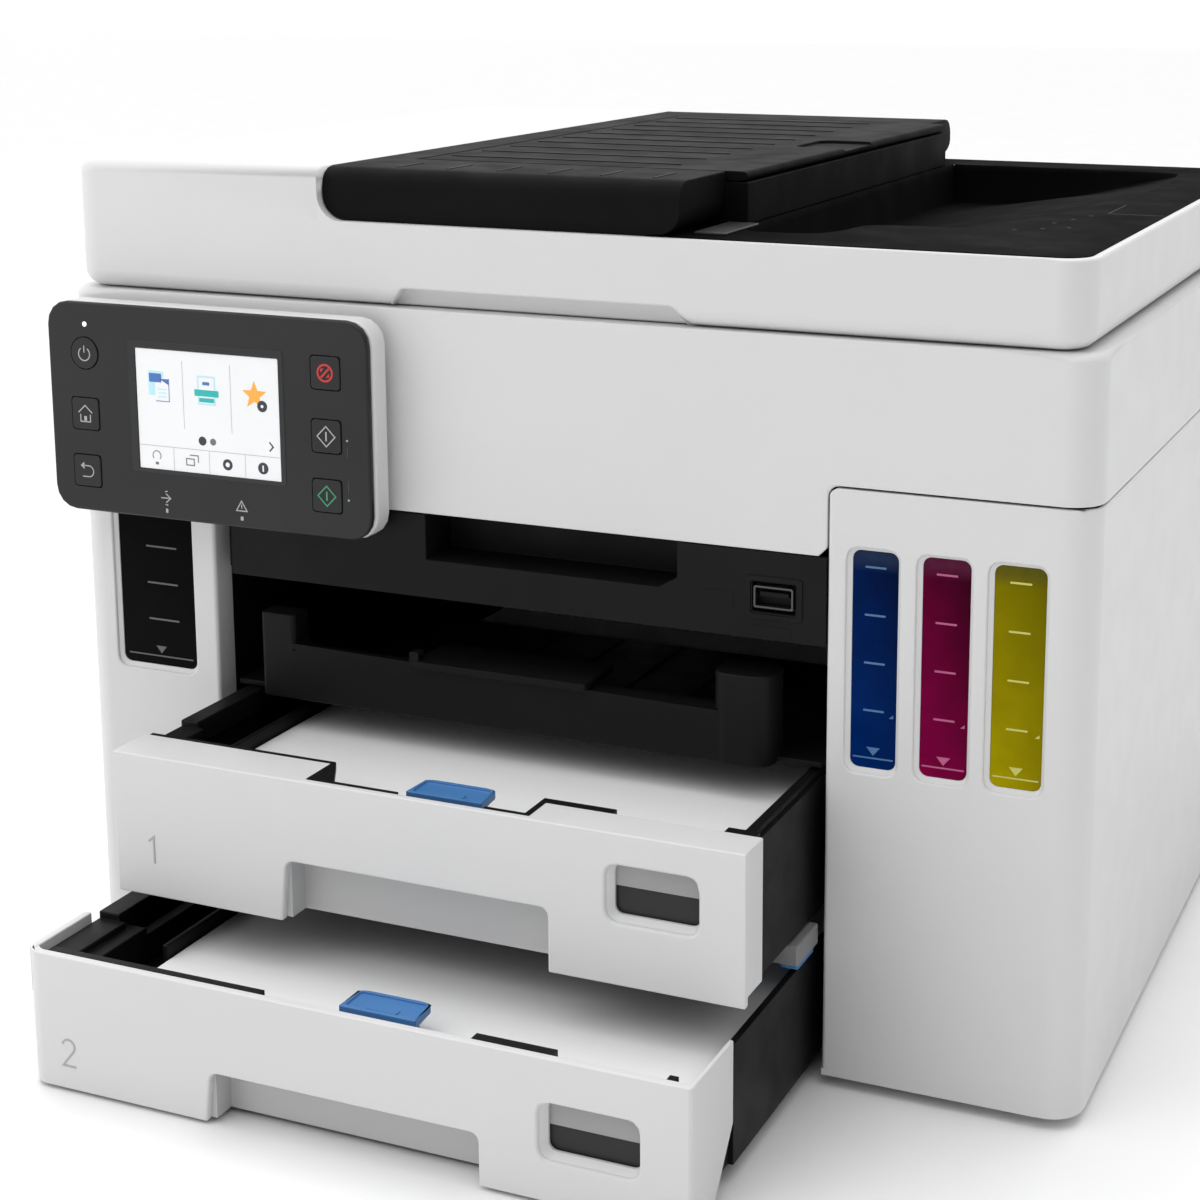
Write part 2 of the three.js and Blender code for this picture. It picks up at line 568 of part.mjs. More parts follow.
function addControlPanel() {
  const { left, right, bottom, top, front } = CONTROL;
  const rim = rectangle([left, right + 0.8], [bottom, top], 9, 4);
  const rear = rectangle([left + 12, right - 12], [bottom + 8, top - 5], 4, 3);
  const shell = extrude(rim, 'y', [front + 2.8, -5]).add(extrude(rear, 'y', [-5.2, -0.7]));
  addNode('panel_back', shell, WHITE, 0.45);

  const holes = Object.values(BUTTONS).map(([x, z, round]) => (
    extrude(buttonOutline(x, z, BUTTON_SIDE / 2 + 0.3, round), 'y', [front - 1, front + 4])
  ));
  holes.push(extrude(rectangle(
    [SCREEN.x[0] - 0.3, SCREEN.x[1] + 0.3],
    [SCREEN.z[0] - 0.3, SCREEN.z[1] + 0.3],
    1,
    2,
  ), 'y', [front - 1, front + 4]));
  const face = extrude(rectangle([left, right], [bottom, top], 9, 4), 'y', [front, front + 2.4]);
  addNode('panel_face', cutAll(face, holes), BLACK, 0.35);
  const screen = extrude(rectangle(SCREEN.x, SCREEN.z, 0.7, 2), 'y', [front + 0.3, front + 2.4]);
  addNode('panel_screen', screen, 0xe8ecee, 0.15);
  for (const [name, [x, z, round]] of Object.entries(BUTTONS)) {
    const button = buttonOutline(x, z, BUTTON_SIDE / 2, round);
    addNode(name, extrude(button, 'y', [front - 0.3, front + 1.4]), BLACK, 0.35);
  }
}

// ---------------------------------------------------------------- document lid and feeder
const LID_HALF = 195.1;
const LID_BACK = 327.6;
const FEEDER = { left: -86, right: 54, front: 3, corner: 9 };
const BED = { x: [58, 172], step: 100, y: [27, 300], rampY: 62, floor: 279 };
const TRAY_HINGE = { x: 60, z: 313.3, half: 1.7 };

function addLid() {
  const bottom = SCANNER_TOP + GAP;
  const plan = outline([
    [-LID_HALF, 0, CORNER], [LID_HALF, 0, CORNER],
    [LID_HALF, LID_BACK, CORNER], [-LID_HALF, LID_BACK, CORNER],
  ]);
  const block = outline([
    [-LID_HALF, 0, CORNER], [FEEDER.left - GAP, 0],
    [FEEDER.left - GAP, LID_BACK], [-LID_HALF, LID_BACK, CORNER],
  ]);
  const bevel = {
    depth: TOP_Z - 12 - 290,
    bevelEnabled: true,
    bevelSize: 6,
    bevelThickness: 6,
    bevelOffset: -6,
    bevelSegments: 5,
  };
  const raisedGeometry = new THREE.ExtrudeGeometry(new THREE.Shape(block), bevel);
  raisedGeometry.translate(0, 0, 296);
  const flatSide = box([FEEDER.left - 12, FEEDER.left - GAP], [8, LID_BACK - 8], [290, TOP_Z]);
  const cornerReach = FEEDER.corner + GAP;
  const cornerFill = box(
    [FEEDER.left - GAP - 1, FEEDER.left + FEEDER.corner],
    [0.4, LID_BACK],
    [RIM_Z - 1, RIM_Z + cornerReach],
  ).subtract(extrude(outline([
    [FEEDER.left - GAP, RIM_Z, cornerReach], [FEEDER.left + 30, RIM_Z],
    [FEEDER.left + 30, TOP_Z], [FEEDER.left - GAP, TOP_Z],
  ]), 'y', [-1, LID_BACK + 1]));
  const raised = joinAll([toSolid(raisedGeometry), flatSide, cornerFill]);
  const bedCut = extrude(outline([
    [BED.step - 1, RIM_Z + 2], [BED.step - 1, BED.floor], [BED.step, BED.floor],
    [BED.x[1], RIM_Z + 0.2], [BED.x[1], RIM_Z + 2],
  ]), 'y', [BED.rampY, BED.y[1]]).add(box([BED.x[0], BED.step], BED.y, [BED.floor, RIM_Z + 2]));
  const bedBody = box(
    [BED.x[0] - WALL, BED.x[1] + WALL],
    [BED.y[0] - WALL, BED.y[1] + WALL],
    [BED.floor - WALL, RIM_Z],
  );
  const underside = box([-LID_HALF + 3, LID_HALF - 3], [9, LID_BACK - 3], [bottom - 1, RIM_Z - 3]);
  const fingerCut = extrude(outline([
    [-57.9, bottom - 1], [-52.8, 273], [52, 273], [58, bottom - 1],
  ]), 'y', [-1, 6]);
  const slab = extrude(plan, 'z', [bottom, RIM_Z]);
  const shell = cutAll(slab.add(raised), [underside.subtract(bedBody), fingerCut, bedCut]);
  addNode('lid_shell', shell, WHITE, 0.45);
  addNode('lid_pad', box([-158, 172], [20, 270], [bottom + 0.2, bottom + 3]), 0xf0f0ee, 0.7);

  const coverSide = outline([
    [FEEDER.front, RIM_Z + GAP], [FEEDER.front, TOP_Z, 7],
    [LID_BACK - 3, TOP_Z, 7], [LID_BACK - 3, RIM_Z + GAP],
  ], 4);
  const hollow = outline([
    [8, RIM_Z], [8, TOP_Z - 7.4, 4], [LID_BACK - 8, TOP_Z - 7.4, 4], [LID_BACK - 8, RIM_Z],
  ], 3);
  const coverFront = outline([
    [FEEDER.left, RIM_Z + GAP, FEEDER.corner], [FEEDER.right, RIM_Z + GAP, FEEDER.corner],
    [FEEDER.right, TOP_Z], [FEEDER.left, TOP_Z],
  ]);
  const side = box([FEEDER.right - 4, TRAY_HINGE.x + 2], [45, 290], [RIM_Z + GAP, TRAY_HINGE.z]);
  const cover = extrude(coverSide, 'x', [FEEDER.left, FEEDER.right])
    .intersect(extrude(coverFront, 'y', [0, LID_BACK]))
    .subtract(extrude(hollow, 'x', [FEEDER.left + 9.2, FEEDER.right - 9.2]))
    .add(side)
    .subtract(box([-70, TRAY_HINGE.x + 3], [44, 291], [TRAY_HINGE.z - 2.1, TOP_Z + 1]));
  addNode('adf_cover', cover, BLACK, 0.35);

  const { x, z, half } = TRAY_HINGE;
  const trayProfile = outline([
    [-69, z - half, 0.6], [x + half, z - half, half - 0.1],
    [x + half, z + half, half - 0.1], [-69, z + half, 0.6],
  ], 5);
  addNode('document_tray', extrude(trayProfile, 'y', [45, 290]), BLACK, 0.4);
}

addBase();
addLeftHousing();
addRightHousing();
addRearHousing();
addUsbPanel();
addChassis();
addRollers();
addCarriage();
addElectronics();
addTanks();
addUpperCassette();
addLowerCassette();
addOutputTray();
addScanner();
addControlPanel();
addLid();

printer.position.y = (PULL_2 - DEPTH) / 2;

export default printer;
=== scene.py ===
"""Looks of an inkjet printer with two pulled-out paper cassettes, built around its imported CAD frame.

Pieces are laid out in millimetres with X = 0 on the casing's middle, Y = 0 on the casing's front plane and
Z = 0 on the floor, as the CAD is, and are turned into the frame's metres when their mesh is written.
"""

import json
import math

import bmesh
import bpy
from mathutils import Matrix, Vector


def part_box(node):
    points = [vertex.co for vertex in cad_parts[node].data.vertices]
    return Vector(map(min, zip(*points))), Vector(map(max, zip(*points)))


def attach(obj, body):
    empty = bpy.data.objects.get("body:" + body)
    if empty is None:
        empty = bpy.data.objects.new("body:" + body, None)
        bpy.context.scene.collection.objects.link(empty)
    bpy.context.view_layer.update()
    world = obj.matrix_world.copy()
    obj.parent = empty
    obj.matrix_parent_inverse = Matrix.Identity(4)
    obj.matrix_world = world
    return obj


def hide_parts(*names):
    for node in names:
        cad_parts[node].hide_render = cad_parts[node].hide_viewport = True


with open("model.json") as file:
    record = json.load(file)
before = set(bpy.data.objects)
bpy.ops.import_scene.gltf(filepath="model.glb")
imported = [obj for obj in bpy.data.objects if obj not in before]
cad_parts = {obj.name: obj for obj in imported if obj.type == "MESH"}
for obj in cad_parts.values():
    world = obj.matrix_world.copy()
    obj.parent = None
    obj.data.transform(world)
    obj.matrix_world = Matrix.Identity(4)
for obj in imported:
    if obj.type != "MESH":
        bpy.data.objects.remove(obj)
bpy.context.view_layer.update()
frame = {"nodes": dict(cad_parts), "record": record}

MM = 0.001
FRONT_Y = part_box("right_housing")[0].y
BODY_OF = {node: body for body, nodes in frame["record"]["behaviour"]["bodies"].items() for node in nodes}
SLOT_OF = {part["node"]: part["material_slot"] for part in frame["record"]["subparts"]}

# Edges that turn more than this are rounded, and edges that meet at less than this leave each other no room.
SHARP_EDGE = math.radians(34)
SHARP_CORNER = math.radians(140)

# In metres: corners this near are one, and corners this near to a seam's plane lie on it.
ONE_CORNER = 0.000003
ON_SEAM = 0.0000005

# Faces that turn less than this lie in one plane.
FLAT = math.radians(0.6)

# Casing and ink windows, in millimetres.
HOUSING_TOP = 215.6
REAR = 394.0
WINDOW_Z = (117.2, 196.0)
LEFT_WINDOW = (-183.1, -146.8)
RIGHT_WINDOWS = ((115.6, 134.2), (140.0, 159.0), (164.3, 184.3))
PAD_FRONT = 2.0

# Control panel: the layers of the lit picture lie one over another.
PANEL_FRONT = -16.2
BUTTON_FRONT = PANEL_FRONT - 0.3
SCREEN_FRONT = PANEL_FRONT + 0.3
SCREEN = ((-156.7, -94.5), (201.9, 247.7))
BAR = SCREEN[1][0] + 9.0
LAYERS = [(SCREEN_FRONT - height, SCREEN_FRONT) for height in (0.16, 0.20, 0.24)]

# Scanner, lid, feeder and the bed that takes the documents.
SCANNER_TOP = 266.0
LID_HALF, LID_BACK, RIM_Z, TOP_Z, CORNER = 195.1, 327.6, 296.0, 315.0, 12.0
LID_BOTTOM = SCANNER_TOP + 0.4
FEEDER_LEFT, FEEDER_CORNER = -86.0, 9.0
BED_LEFT, BED_STEP, BED_RIGHT, BED_FLOOR, BED_BACK = 58.0, 100.0, 172.0, 279.0, 300.0
BED_PLATE = RIM_Z + 0.32

# Where along each axis of the direction the slope starts and ends, and the strengths that it adds there.
WORLD_SLOPES = (
    ("Y", -0.4, 0.3, 0.43, 0.94),
    ("Z", 0.03, 0.25, 0.18, 0.0),
    ("Z", 0.35, 0.95, 0.0, 0.8),
    ("X", -1.0, -0.2, 0.3, 0.0),
    ("X", 0.1, 0.7, 0.0, -0.48),
)

# Where a piece's faces with holes are parted, so that the rounding finds clean corners.
SEAMS = {
    "scanner_housing": (("x", 0.3), ("y", 140.3)),
    "rear_housing": (("x", 0.3), ("z", 187.3), ("z", 207.3), ("z", 80.3)),
    "right_housing": (("y", 150.3), ("x", 150.3)),
    "left_housing": (("y", 150.3), ("x", -160.3)),
    "lid_shell": (("y", 150.3),),
    "adf_cover": (("x", -16.3), ("y", 150.3)),
    "cassette_1_tray": (("x", 20.3), ("y", 100.3)),
    "cassette_2_tray": (("x", 20.3), ("y", 60.3)),
    "rear_tray_cover": (("x", 0.3),),
    "pickup_roller": (("y", 205.03), ("z", 111.43)),
    "cassette_1_end_guide": (("x", -11.3),),
    "cassette_2_end_guide": (("x", -11.3),),
    "power_supply": (("x", -160.3), ("z", 80.3)),
    "document_tray": (("x", 10.3),),
    "output_support": (("x", -15.3),),
}


def metres(x, y, z):
    """A point given in millimetres from the casing's front plane, in the frame's metres."""
    return Vector((x * MM, y * MM + FRONT_Y, z * MM))


def millimetres(point):
    return point.x / MM, (point.y - FRONT_Y) / MM, point.z / MM


def near(value, target, reach=0.25):
    return abs(value - target) < reach


def inner(span, first, last):
    """A span with a margin taken off at each end."""
    return span[0] + first, span[1] - last


# ---- camera
def add_camera():
    data = bpy.data.cameras.new("camera")
    data.sensor_width = 36.0
    data.lens = 67.33
    data.shift_x = -0.0667
    data.shift_y = -0.1667
    data.clip_start = 0.05
    data.clip_end = 20.0
    camera = bpy.data.objects.new("camera", data)
    camera.location = metres(347.6, -688.4, 389.4)
    camera.rotation_euler = (math.radians(90 - 11.21), 0.0, math.radians(23.01))
    bpy.context.scene.collection.objects.link(camera)
    bpy.context.scene.camera = camera


# ---- materials
class Nodes:
    """A node tree, with a short call for each kind of node."""

    def __init__(self, owner=None, shader="BsdfPrincipled", output="OutputMaterial", place="Object"):
        self.owner = owner or bpy.data.materials.new("look")
        self.owner.use_nodes = True
        self.tree = self.owner.node_tree
        self.tree.nodes.clear()
        self.shader = self.add(shader)
        self.add(output, Surface=self.shader.outputs[0])
        self.place = self.add("TexCoord").outputs[place]

    def put(self, value, socket):
        """Links a socket, or sets it to a number or a colour."""
        if isinstance(value, bpy.types.NodeSocket):
            self.tree.links.new(value, socket)
        elif socket.type == "RGBA":
            socket.default_value = (*value, 1.0)
        else:
            socket.default_value = value

    def add(self, kind, **values):
        node = self.tree.nodes.new(f"ShaderNode{kind}")
        for name, value in values.items():
            self.put(value, node.inputs[name.replace("_", " ")])
        return node

    def noise(self, scale, detail=3.0, rough=0.5, stretch=None):
        place = self.place
        if stretch:
            place = self.add("Mapping", Scale=stretch, Vector=place).outputs["Vector"]
        return self.add("TexNoise", Scale=scale, Detail=detail, Roughness=rough, Vector=place).outputs["Fac"]

    def along(self, axis, low, high):
        """0 to 1 along an axis, between two places in millimetres."""
        parts = self.add("SeparateXYZ", Vector=self.place)
        index = "XYZ".index(axis)
        start, end = (metres(place, place, place)[index] for place in (low, high))
        return self.remap(parts.outputs[axis], 0.0, 1.0, start, end)

    def mix(self, factor, first, second):
        node = self.tree.nodes.new("ShaderNodeMix")
        node.data_type = "RGBA"
        self.put(factor, node.inputs["Factor"])
        for value, socket in zip((first, second), (s for s in node.inputs if s.type == "RGBA")):
            self.put(value, socket)
        return next(s for s in node.outputs if s.type == "RGBA")

    def math(self, operation, first, second):
        node = self.tree.nodes.new("ShaderNodeMath")
        node.operation = operation
        self.put(first, node.inputs[0])
        self.put(second, node.inputs[1])
        return node.outputs["Value"]

    def ramp(self, source, colors, places=(0.3, 0.7)):
        """A colour between two, by the source's value."""
        node = self.add("ValToRGB", Fac=source)
        for element, color, place in zip(node.color_ramp.elements, colors, places):
            element.position = place
            element.color = (*color, 1.0)
        return node.outputs["Color"]

    def remap(self, source, low, high, start=0.35, end=0.65):
        node = self.add("MapRange", Value=source, From_Min=start, From_Max=end, To_Min=low, To_Max=high)
        return node.outputs[0]

    def finish(self, color, rough, height, depth, strength, **sockets):
        """Wires the shader: its colour, its roughness, a bump of a depth in metres, and any other sockets."""
        bump = self.add("Bump", Strength=strength, Distance=depth, Height=height).outputs["Normal"]
        for name, value in {"Base_Color": color, "Roughness": rough, "Normal": bump, **sockets}.items():
            self.put(value, self.shader.inputs[name.replace("_", " ")])
        return self.owner


def around(color, spread):
    return tuple(c * (1 - spread) for c in color), tuple(min(1.0, c * (1 + spread)) for c in color)


def moulded(color, spread, rough, grain=0.00003, **sockets):
    """Moulded plastic: a slow colour drift, a fine eroded grain and patchy gloss."""
    nodes = Nodes()
    drift = nodes.ramp(nodes.noise(14.0, 4.0), around(color, spread))
    gloss = nodes.remap(nodes.noise(60.0, 5.0), rough - 0.05, rough + 0.06)
    return nodes.finish(drift, gloss, nodes.noise(2600.0, 2.0), grain, 0.6, **sockets)


def ink(lit_tone, dark, span, haze):
    """Ink behind a clear window, with painted shade: darker towards the top and the right, where the window's
    recess shades it, and hazy where the level ends.
    """
    nodes = Nodes()
    # Painted shade: the ink goes from its lit tone at the bottom left to its shaded tone at the top and the
    # right.
    rise = nodes.math("MULTIPLY", nodes.along("Z", 119.0, 192.0), 0.62)
    across = nodes.math("MULTIPLY", nodes.along("X", *span), 0.38)
    body = nodes.mix(nodes.math("POWER", nodes.math("ADD", rise, across), 0.8), lit_tone, dark)
    drift = nodes.mix(nodes.remap(nodes.noise(90.0), 0.0, 0.25), body, dark)
    cloud = nodes.math("MULTIPLY", nodes.along("Z", 187.5, 192.5), nodes.remap(nodes.noise(220.0), 0.75, 1.0))
    gloss = nodes.remap(nodes.noise(40.0, 4.0), 0.2, 0.3)
    ripple = nodes.noise(300.0, 2.0)
    return nodes.finish(nodes.mix(cloud, drift, haze), gloss, ripple, 0.000004, 0.3, Specular_IOR_Level=0.02)


def sheets(color):
    """A stack of sheets: soft fibre on the faces and fine lines between the sheets along the edges."""
    nodes = Nodes()
    lines = nodes.noise(1.0, 2.0, 0.6, (6.0, 6.0, 9000.0))
    fibre = nodes.noise(900.0, 4.0, 0.6)
    relief = nodes.math("ADD", lines, fibre)
    rough = nodes.remap(fibre, 0.7, 0.85)
    return nodes.finish(nodes.ramp(fibre, around(color, 0.015)), rough, relief, 0.00002, 0.5)


def brushed(color, rough):
    """Metal with fine streaks along X."""
    nodes = Nodes()
    streaks = nodes.noise(1.0, 3.0, 0.6, (40.0, 900.0, 2500.0))
    shade = nodes.ramp(streaks, around(color, 0.08))
    gloss = nodes.remap(streaks, rough - 0.06, rough + 0.1)
    return nodes.finish(shade, gloss, streaks, 0.00001, 0.5, Metallic=1.0)


def board():
    """A circuit board with its tracks."""
    nodes = Nodes()
    tracks = nodes.noise(1.0, 3.0, 0.5, (420.0, 30.0, 420.0))
    color = nodes.ramp(tracks, ((0.01, 0.1, 0.045), (0.03, 0.2, 0.09)), (0.47, 0.53))
    return nodes.finish(color, nodes.remap(tracks, 0.3, 0.45), tracks, 0.00003, 0.5)


def glowing(color, strength, spread=0.03):
    """A lit part of the display: its own light with a faint unevenness of the backlight."""
    nodes = Nodes()
    shade = nodes.ramp(nodes.noise(60.0), around(color, spread))
    gloss = nodes.remap(nodes.noise(80.0), 0.18, 0.26)
    lit = {"Emission_Color": shade, "Emission_Strength": strength}
    return nodes.finish(shade, gloss, nodes.noise(2000.0, 1.0), 0.000005, 0.3, **lit)


def add_materials():
    found = {
        "body_white": moulded((0.70, 0.70, 0.703), 0.012, 0.42, 0.00002),
        "body_black": moulded((0.0062, 0.0062, 0.0065), 0.15, 0.5, Specular_IOR_Level=0.14),
        "feeder_black": moulded((0.0045, 0.0045, 0.0047), 0.12, 0.62, Specular_IOR_Level=0.07),
        "bed_black": moulded((0.0022, 0.0022, 0.0023), 0.12, 0.8, Specular_IOR_Level=0.03),
        "panel_black": moulded((0.012, 0.012, 0.013), 0.12, 0.42, 0.00002, Specular_IOR_Level=0.35),
        "deep_black": moulded((0.002, 0.002, 0.002), 0.1, 0.7, 0.0),
        "dark_grey": moulded((0.03, 0.03, 0.03), 0.1, 0.45),
        "grey_plastic": moulded((0.22, 0.22, 0.225), 0.05, 0.45),
        # Painted shade: the casing's white plastic made darker for the shade inside the grip pockets.
        "pocket_white": moulded((0.55, 0.55, 0.552), 0.012, 0.5, 0.00002),
        # Painted shade: the paper and the recess seen through the cassettes' level windows.
        "paper_painted_shade": moulded((0.35, 0.35, 0.35), 0.05, 0.5, 0.00002),
        "recess_painted_shade": moulded((0.038, 0.038, 0.038), 0.1, 0.4, 0.00002, Specular_IOR_Level=0.15),
        "guide_blue": moulded((0.06, 0.19, 0.44), 0.06, 0.42, Specular_IOR_Level=0.35),
        "rubber": moulded((0.02, 0.02, 0.02), 0.2, 0.75),
        "pad_white": moulded((0.78, 0.78, 0.77), 0.02, 0.7),
        "screen": moulded((0.006, 0.006, 0.007), 0.1, 0.12, 0.000002),
        "glass": moulded((0.42, 0.5, 0.5), 0.03, 0.08, 0.000001, Coat_Weight=0.5),
        "digit": moulded((0.42, 0.42, 0.42), 0.03, 0.45, 0.0),
        "floor": moulded((0.9, 0.9, 0.9), 0.01, 0.6, 0.0),
        "steel": brushed((0.55, 0.55, 0.56), 0.3),
        "dull_steel": brushed((0.10, 0.10, 0.105), 0.4),
        "circuit_board": board(),
        "paper": sheets((0.86, 0.86, 0.86)),
        # Each ink gives its lit tone, its shaded tone for the painted shade towards the window's top and
        # right, its span across and its haze.
        "ink_black": ink((0.007, 0.007, 0.0075), (0.002, 0.002, 0.002), (-182, -147), (0.008, 0.008, 0.008)),
        "ink_cyan": ink((0.0, 0.027, 0.175), (0.0, 0.004, 0.03), (116, 134), (0.02, 0.035, 0.08)),
        "ink_magenta": ink((0.27, 0.0, 0.064), (0.025, 0.0, 0.007), (140, 159), (0.1, 0.015, 0.045)),
        "ink_yellow": ink((0.43, 0.355, 0.0), (0.13, 0.11, 0.0), (164, 184), (0.1, 0.09, 0.01)),
        "lamp": glowing((0.9, 0.9, 0.9), 0.8),
        "display": glowing((0.78, 0.79, 0.80), 0.2, 0.01),
        "display_line": glowing((0.45, 0.45, 0.46), 0.1),
        "display_grey": glowing((0.16, 0.16, 0.18), 0.05),
        "display_dark": glowing((0.03, 0.035, 0.05), 0.02),
        "display_blue": glowing((0.06, 0.16, 0.45), 0.15),
        "display_teal": glowing((0.02, 0.42, 0.40), 0.2),
        "display_sky": glowing((0.45, 0.72, 0.80), 0.2),
        "display_orange": glowing((0.85, 0.36, 0.05), 0.3),
    }
    marks = {
        "black": (0.10, 0.10, 0.10),
        "cyan": (0.06, 0.16, 0.34),
        "magenta": (0.48, 0.09, 0.22),
        "yellow": (0.58, 0.56, 0.12),
    }
    for name, color in marks.items():
        found[f"mark_{name}"] = moulded(color, 0.1, 0.4, 0.0)
    prints = {"icon": (0.42, 0.42, 0.42), "icon_dim": (0.08, 0.08, 0.08), "icon_dark": (0.03, 0.03, 0.03),
              "icon_red": (0.55, 0.03, 0.035), "icon_green": (0.05, 0.32, 0.16)}
    for name, color in prints.items():
        found[name] = moulded(color, 0.05, 0.5, 0.0)
    for name, material in found.items():
        material.name = f"{name}_look"
    return found


materials = add_materials()


# ---- shapes
def outline(corners, steps=8):
    """A closed outline through (u, v) or (u, v, radius) corners, as a list of points."""
    points = []
    for index, corner in enumerate(corners):
        here = Vector(corner[:2])
        if len(corner) == 2:
            points.append(here)
            continue
        radius = corner[2]
        before = (Vector(corners[index - 1][:2]) - here).normalized()
        after = (Vector(corners[(index + 1) % len(corners)][:2]) - here).normalized()
        half = before.angle(after) / 2
        start = here + before * (radius / math.tan(half))
        end = here + after * (radius / math.tan(half))
        centre = here + (before + after).normalized() * (radius / math.sin(half))
        first = math.atan2(start.y - centre.y, start.x - centre.x)
        sweep = math.atan2(end.y - centre.y, end.x - centre.x) - first
        sweep -= 2 * math.pi * round(sweep / (2 * math.pi))
        for step in range(steps + 1):
            angle = first + sweep * step / steps
            points.append(centre + Vector((math.cos(angle), math.sin(angle))) * radius)
    return points


def rectangle(u, v, radius=0.0, steps=6):
    corners = [(u[0], v[0]), (u[1], v[0]), (u[1], v[1]), (u[0], v[1])]
    return outline([(*corner, radius) for corner in corners] if radius else corners, steps)


def circle(u, v, radius, count=32):
    turn = 2 * math.pi / count
    return [Vector((u + radius * math.cos(turn * i), v + radius * math.sin(turn * i))) for i in range(count)]


def arc(centre, radius, first, last, count=16):
    angles = [math.radians(first + (last - first) * i / count) for i in range(count + 1)]
    return [(centre[0] + radius * math.cos(angle), centre[1] + radius * math.sin(angle)) for angle in angles]


def curve(points, steps=5, closed=False):
    """A smooth line through points, by Catmull-Rom."""
    found = []
    count = len(points)
    at = [Vector(p) for p in points]
    for index in range(count if closed else count - 1):
        a = at[index - 1] if closed or index else at[0]
        b = at[index]
        c = at[(index + 1) % count]
        d = at[(index + 2) % count] if closed or index + 2 < count else at[-1]
        for step in range(steps):
            t = step / steps
            found.append(0.5 * (2 * b + (c - a) * t + (2 * a - 5 * b + 4 * c - d) * t * t
                                + (3 * b - a - 3 * c + d) * t * t * t))
    if not closed:
        found.append(at[-1])
    return found


def ribbon(points, width, closed=False):
    """The outline, or the two outlines, of a line of even width."""
    at = [Vector(p) for p in points]
    left, right = [], []
    for index, here in enumerate(at):
        before = at[index - 1] if closed or index else None
        after = at[(index + 1) % len(at)] if closed or index + 1 < len(at) else None
        one = (here - before).normalized() if before else None
        two = (after - here).normalized() if after else None
        one, two = one or two, two or one
        along = (one + two).normalized()
        reach = width / 2 / max(0.35, along.dot(one))
        side = Vector((-along.y, along.x)) * reach
        left.append(here + side)
        right.append(here - side)
    return (left, right) if closed else left + right[::-1]


PLANES = {
    "x": lambda u, v, w: (w, u, v),
    "y": lambda u, v, w: (u, w, v),
    "z": lambda u, v, w: (u, v, w),
}


def prism(points, axis, span):
    """A closed extrusion: 'z' takes (x, y) points, 'y' takes (x, z) and 'x' takes (y, z)."""
    shape = bmesh.new()
    ends = []
    for depth in span:
        ends.append([shape.verts.new(metres(*PLANES[axis](u, v, depth))) for u, v in points])
    low, high = ends
    shape.faces.new(low)
    shape.faces.new(high)
    for index in range(len(points)):
        after = (index + 1) % len(points)
        shape.faces.new((low[index], low[after], high[after], high[index]))
    bmesh.ops.recalc_face_normals(shape, faces=shape.faces)
    return shape


def plate(x, z, y, radius=0.0, steps=6):
    """A slab that faces the front, with its corners rounded."""
    return prism(rectangle(x, z, radius, steps), "y", y)


def block(x, y, z):
    return prism(rectangle(x, y), "z", z)


def ring(edge, hole, axis, span):
    """An extrusion between two outlines that have the same number of points."""
    return funnel(edge, hole, axis, span, span)


def funnel(edge, hole, axis, edge_span, hole_span):
    """A ring between two outlines, each with its own front and back along the axis."""
    shape = bmesh.new()
    loops = []
    for points, span in ((edge, edge_span), (hole, hole_span)):
        for depth in span:
            loops.append([shape.verts.new(metres(*PLANES[axis](u, v, depth))) for u, v in points])
    edge_low, edge_high, hole_low, hole_high = loops
    for index in range(len(edge)):
        after = (index + 1) % len(edge)
        for one, two in ((edge_low, edge_high), (edge_high, hole_high), (hole_high, hole_low),
                         (hole_low, edge_low)):
            shape.faces.new((one[index], one[after], two[after], two[index]))
    bmesh.ops.recalc_face_normals(shape, faces=shape.faces)
    return shape


def turned(profile, axis, centre, count=40):
    """A closed turned shape: profile points are (distance along the axis, radius)."""
    shape = bmesh.new()
    rings = []
    for along, radius in profile:
        if radius == 0:
            rings.append([shape.verts.new(metres(*PLANES[axis](*centre, along)))])
            continue
        points = circle(*centre, radius, count)
        rings.append([shape.verts.new(metres(*PLANES[axis](u, v, along))) for u, v in points])
    for one, two in zip(rings, rings[1:]):
        for index in range(count):
            after = (index + 1) % count
            corners = [one[index % len(one)], one[after % len(one)]]
            corners += [two[after % len(two)], two[index % len(two)]]
            shape.faces.new(list(dict.fromkeys(corners)))
    bmesh.ops.recalc_face_normals(shape, faces=shape.faces)
    return shape


def line(points, width, span, closed=False, axis="y"):
    """A thin raised line along a path."""
    edges = ribbon(points, width, closed)
    return ring(*edges, axis, span) if closed else prism(edges, axis, span)


def drawing(place, depth, *strokes):
    """Flat shapes round a place: each has a line's width, or 0 for a filled outline, and its points."""
    x, z = place
    shapes = []
    for width, points in strokes:
        at = [(x + u, z + v) for u, v in points]
        closed = at[0] == at[-1]
        if width:
            shapes.append(line(at[:-1] if closed else at, width, depth, closed))
        else:
            shapes.append(prism(at, "y", depth))
    return shapes


def copy_of(node):
    """The CAD node's faceted solid."""
    shape = bmesh.new()
    mesh = frame["nodes"][node].data
    corners = [shape.verts.new(vertex.co) for vertex in mesh.vertices]
    for polygon in mesh.polygons:
        shape.faces.new([corners[index] for index in polygon.vertices])
    return shape


def merged(shapes):
    """Several shapes that don't touch, as one."""
    whole = bmesh.new()
    for shape in shapes:
        mesh = bpy.data.meshes.new("part")
        shape.to_mesh(mesh)
        shape.free()
        whole.from_mesh(mesh)
        bpy.data.meshes.remove(mesh)
    return whole


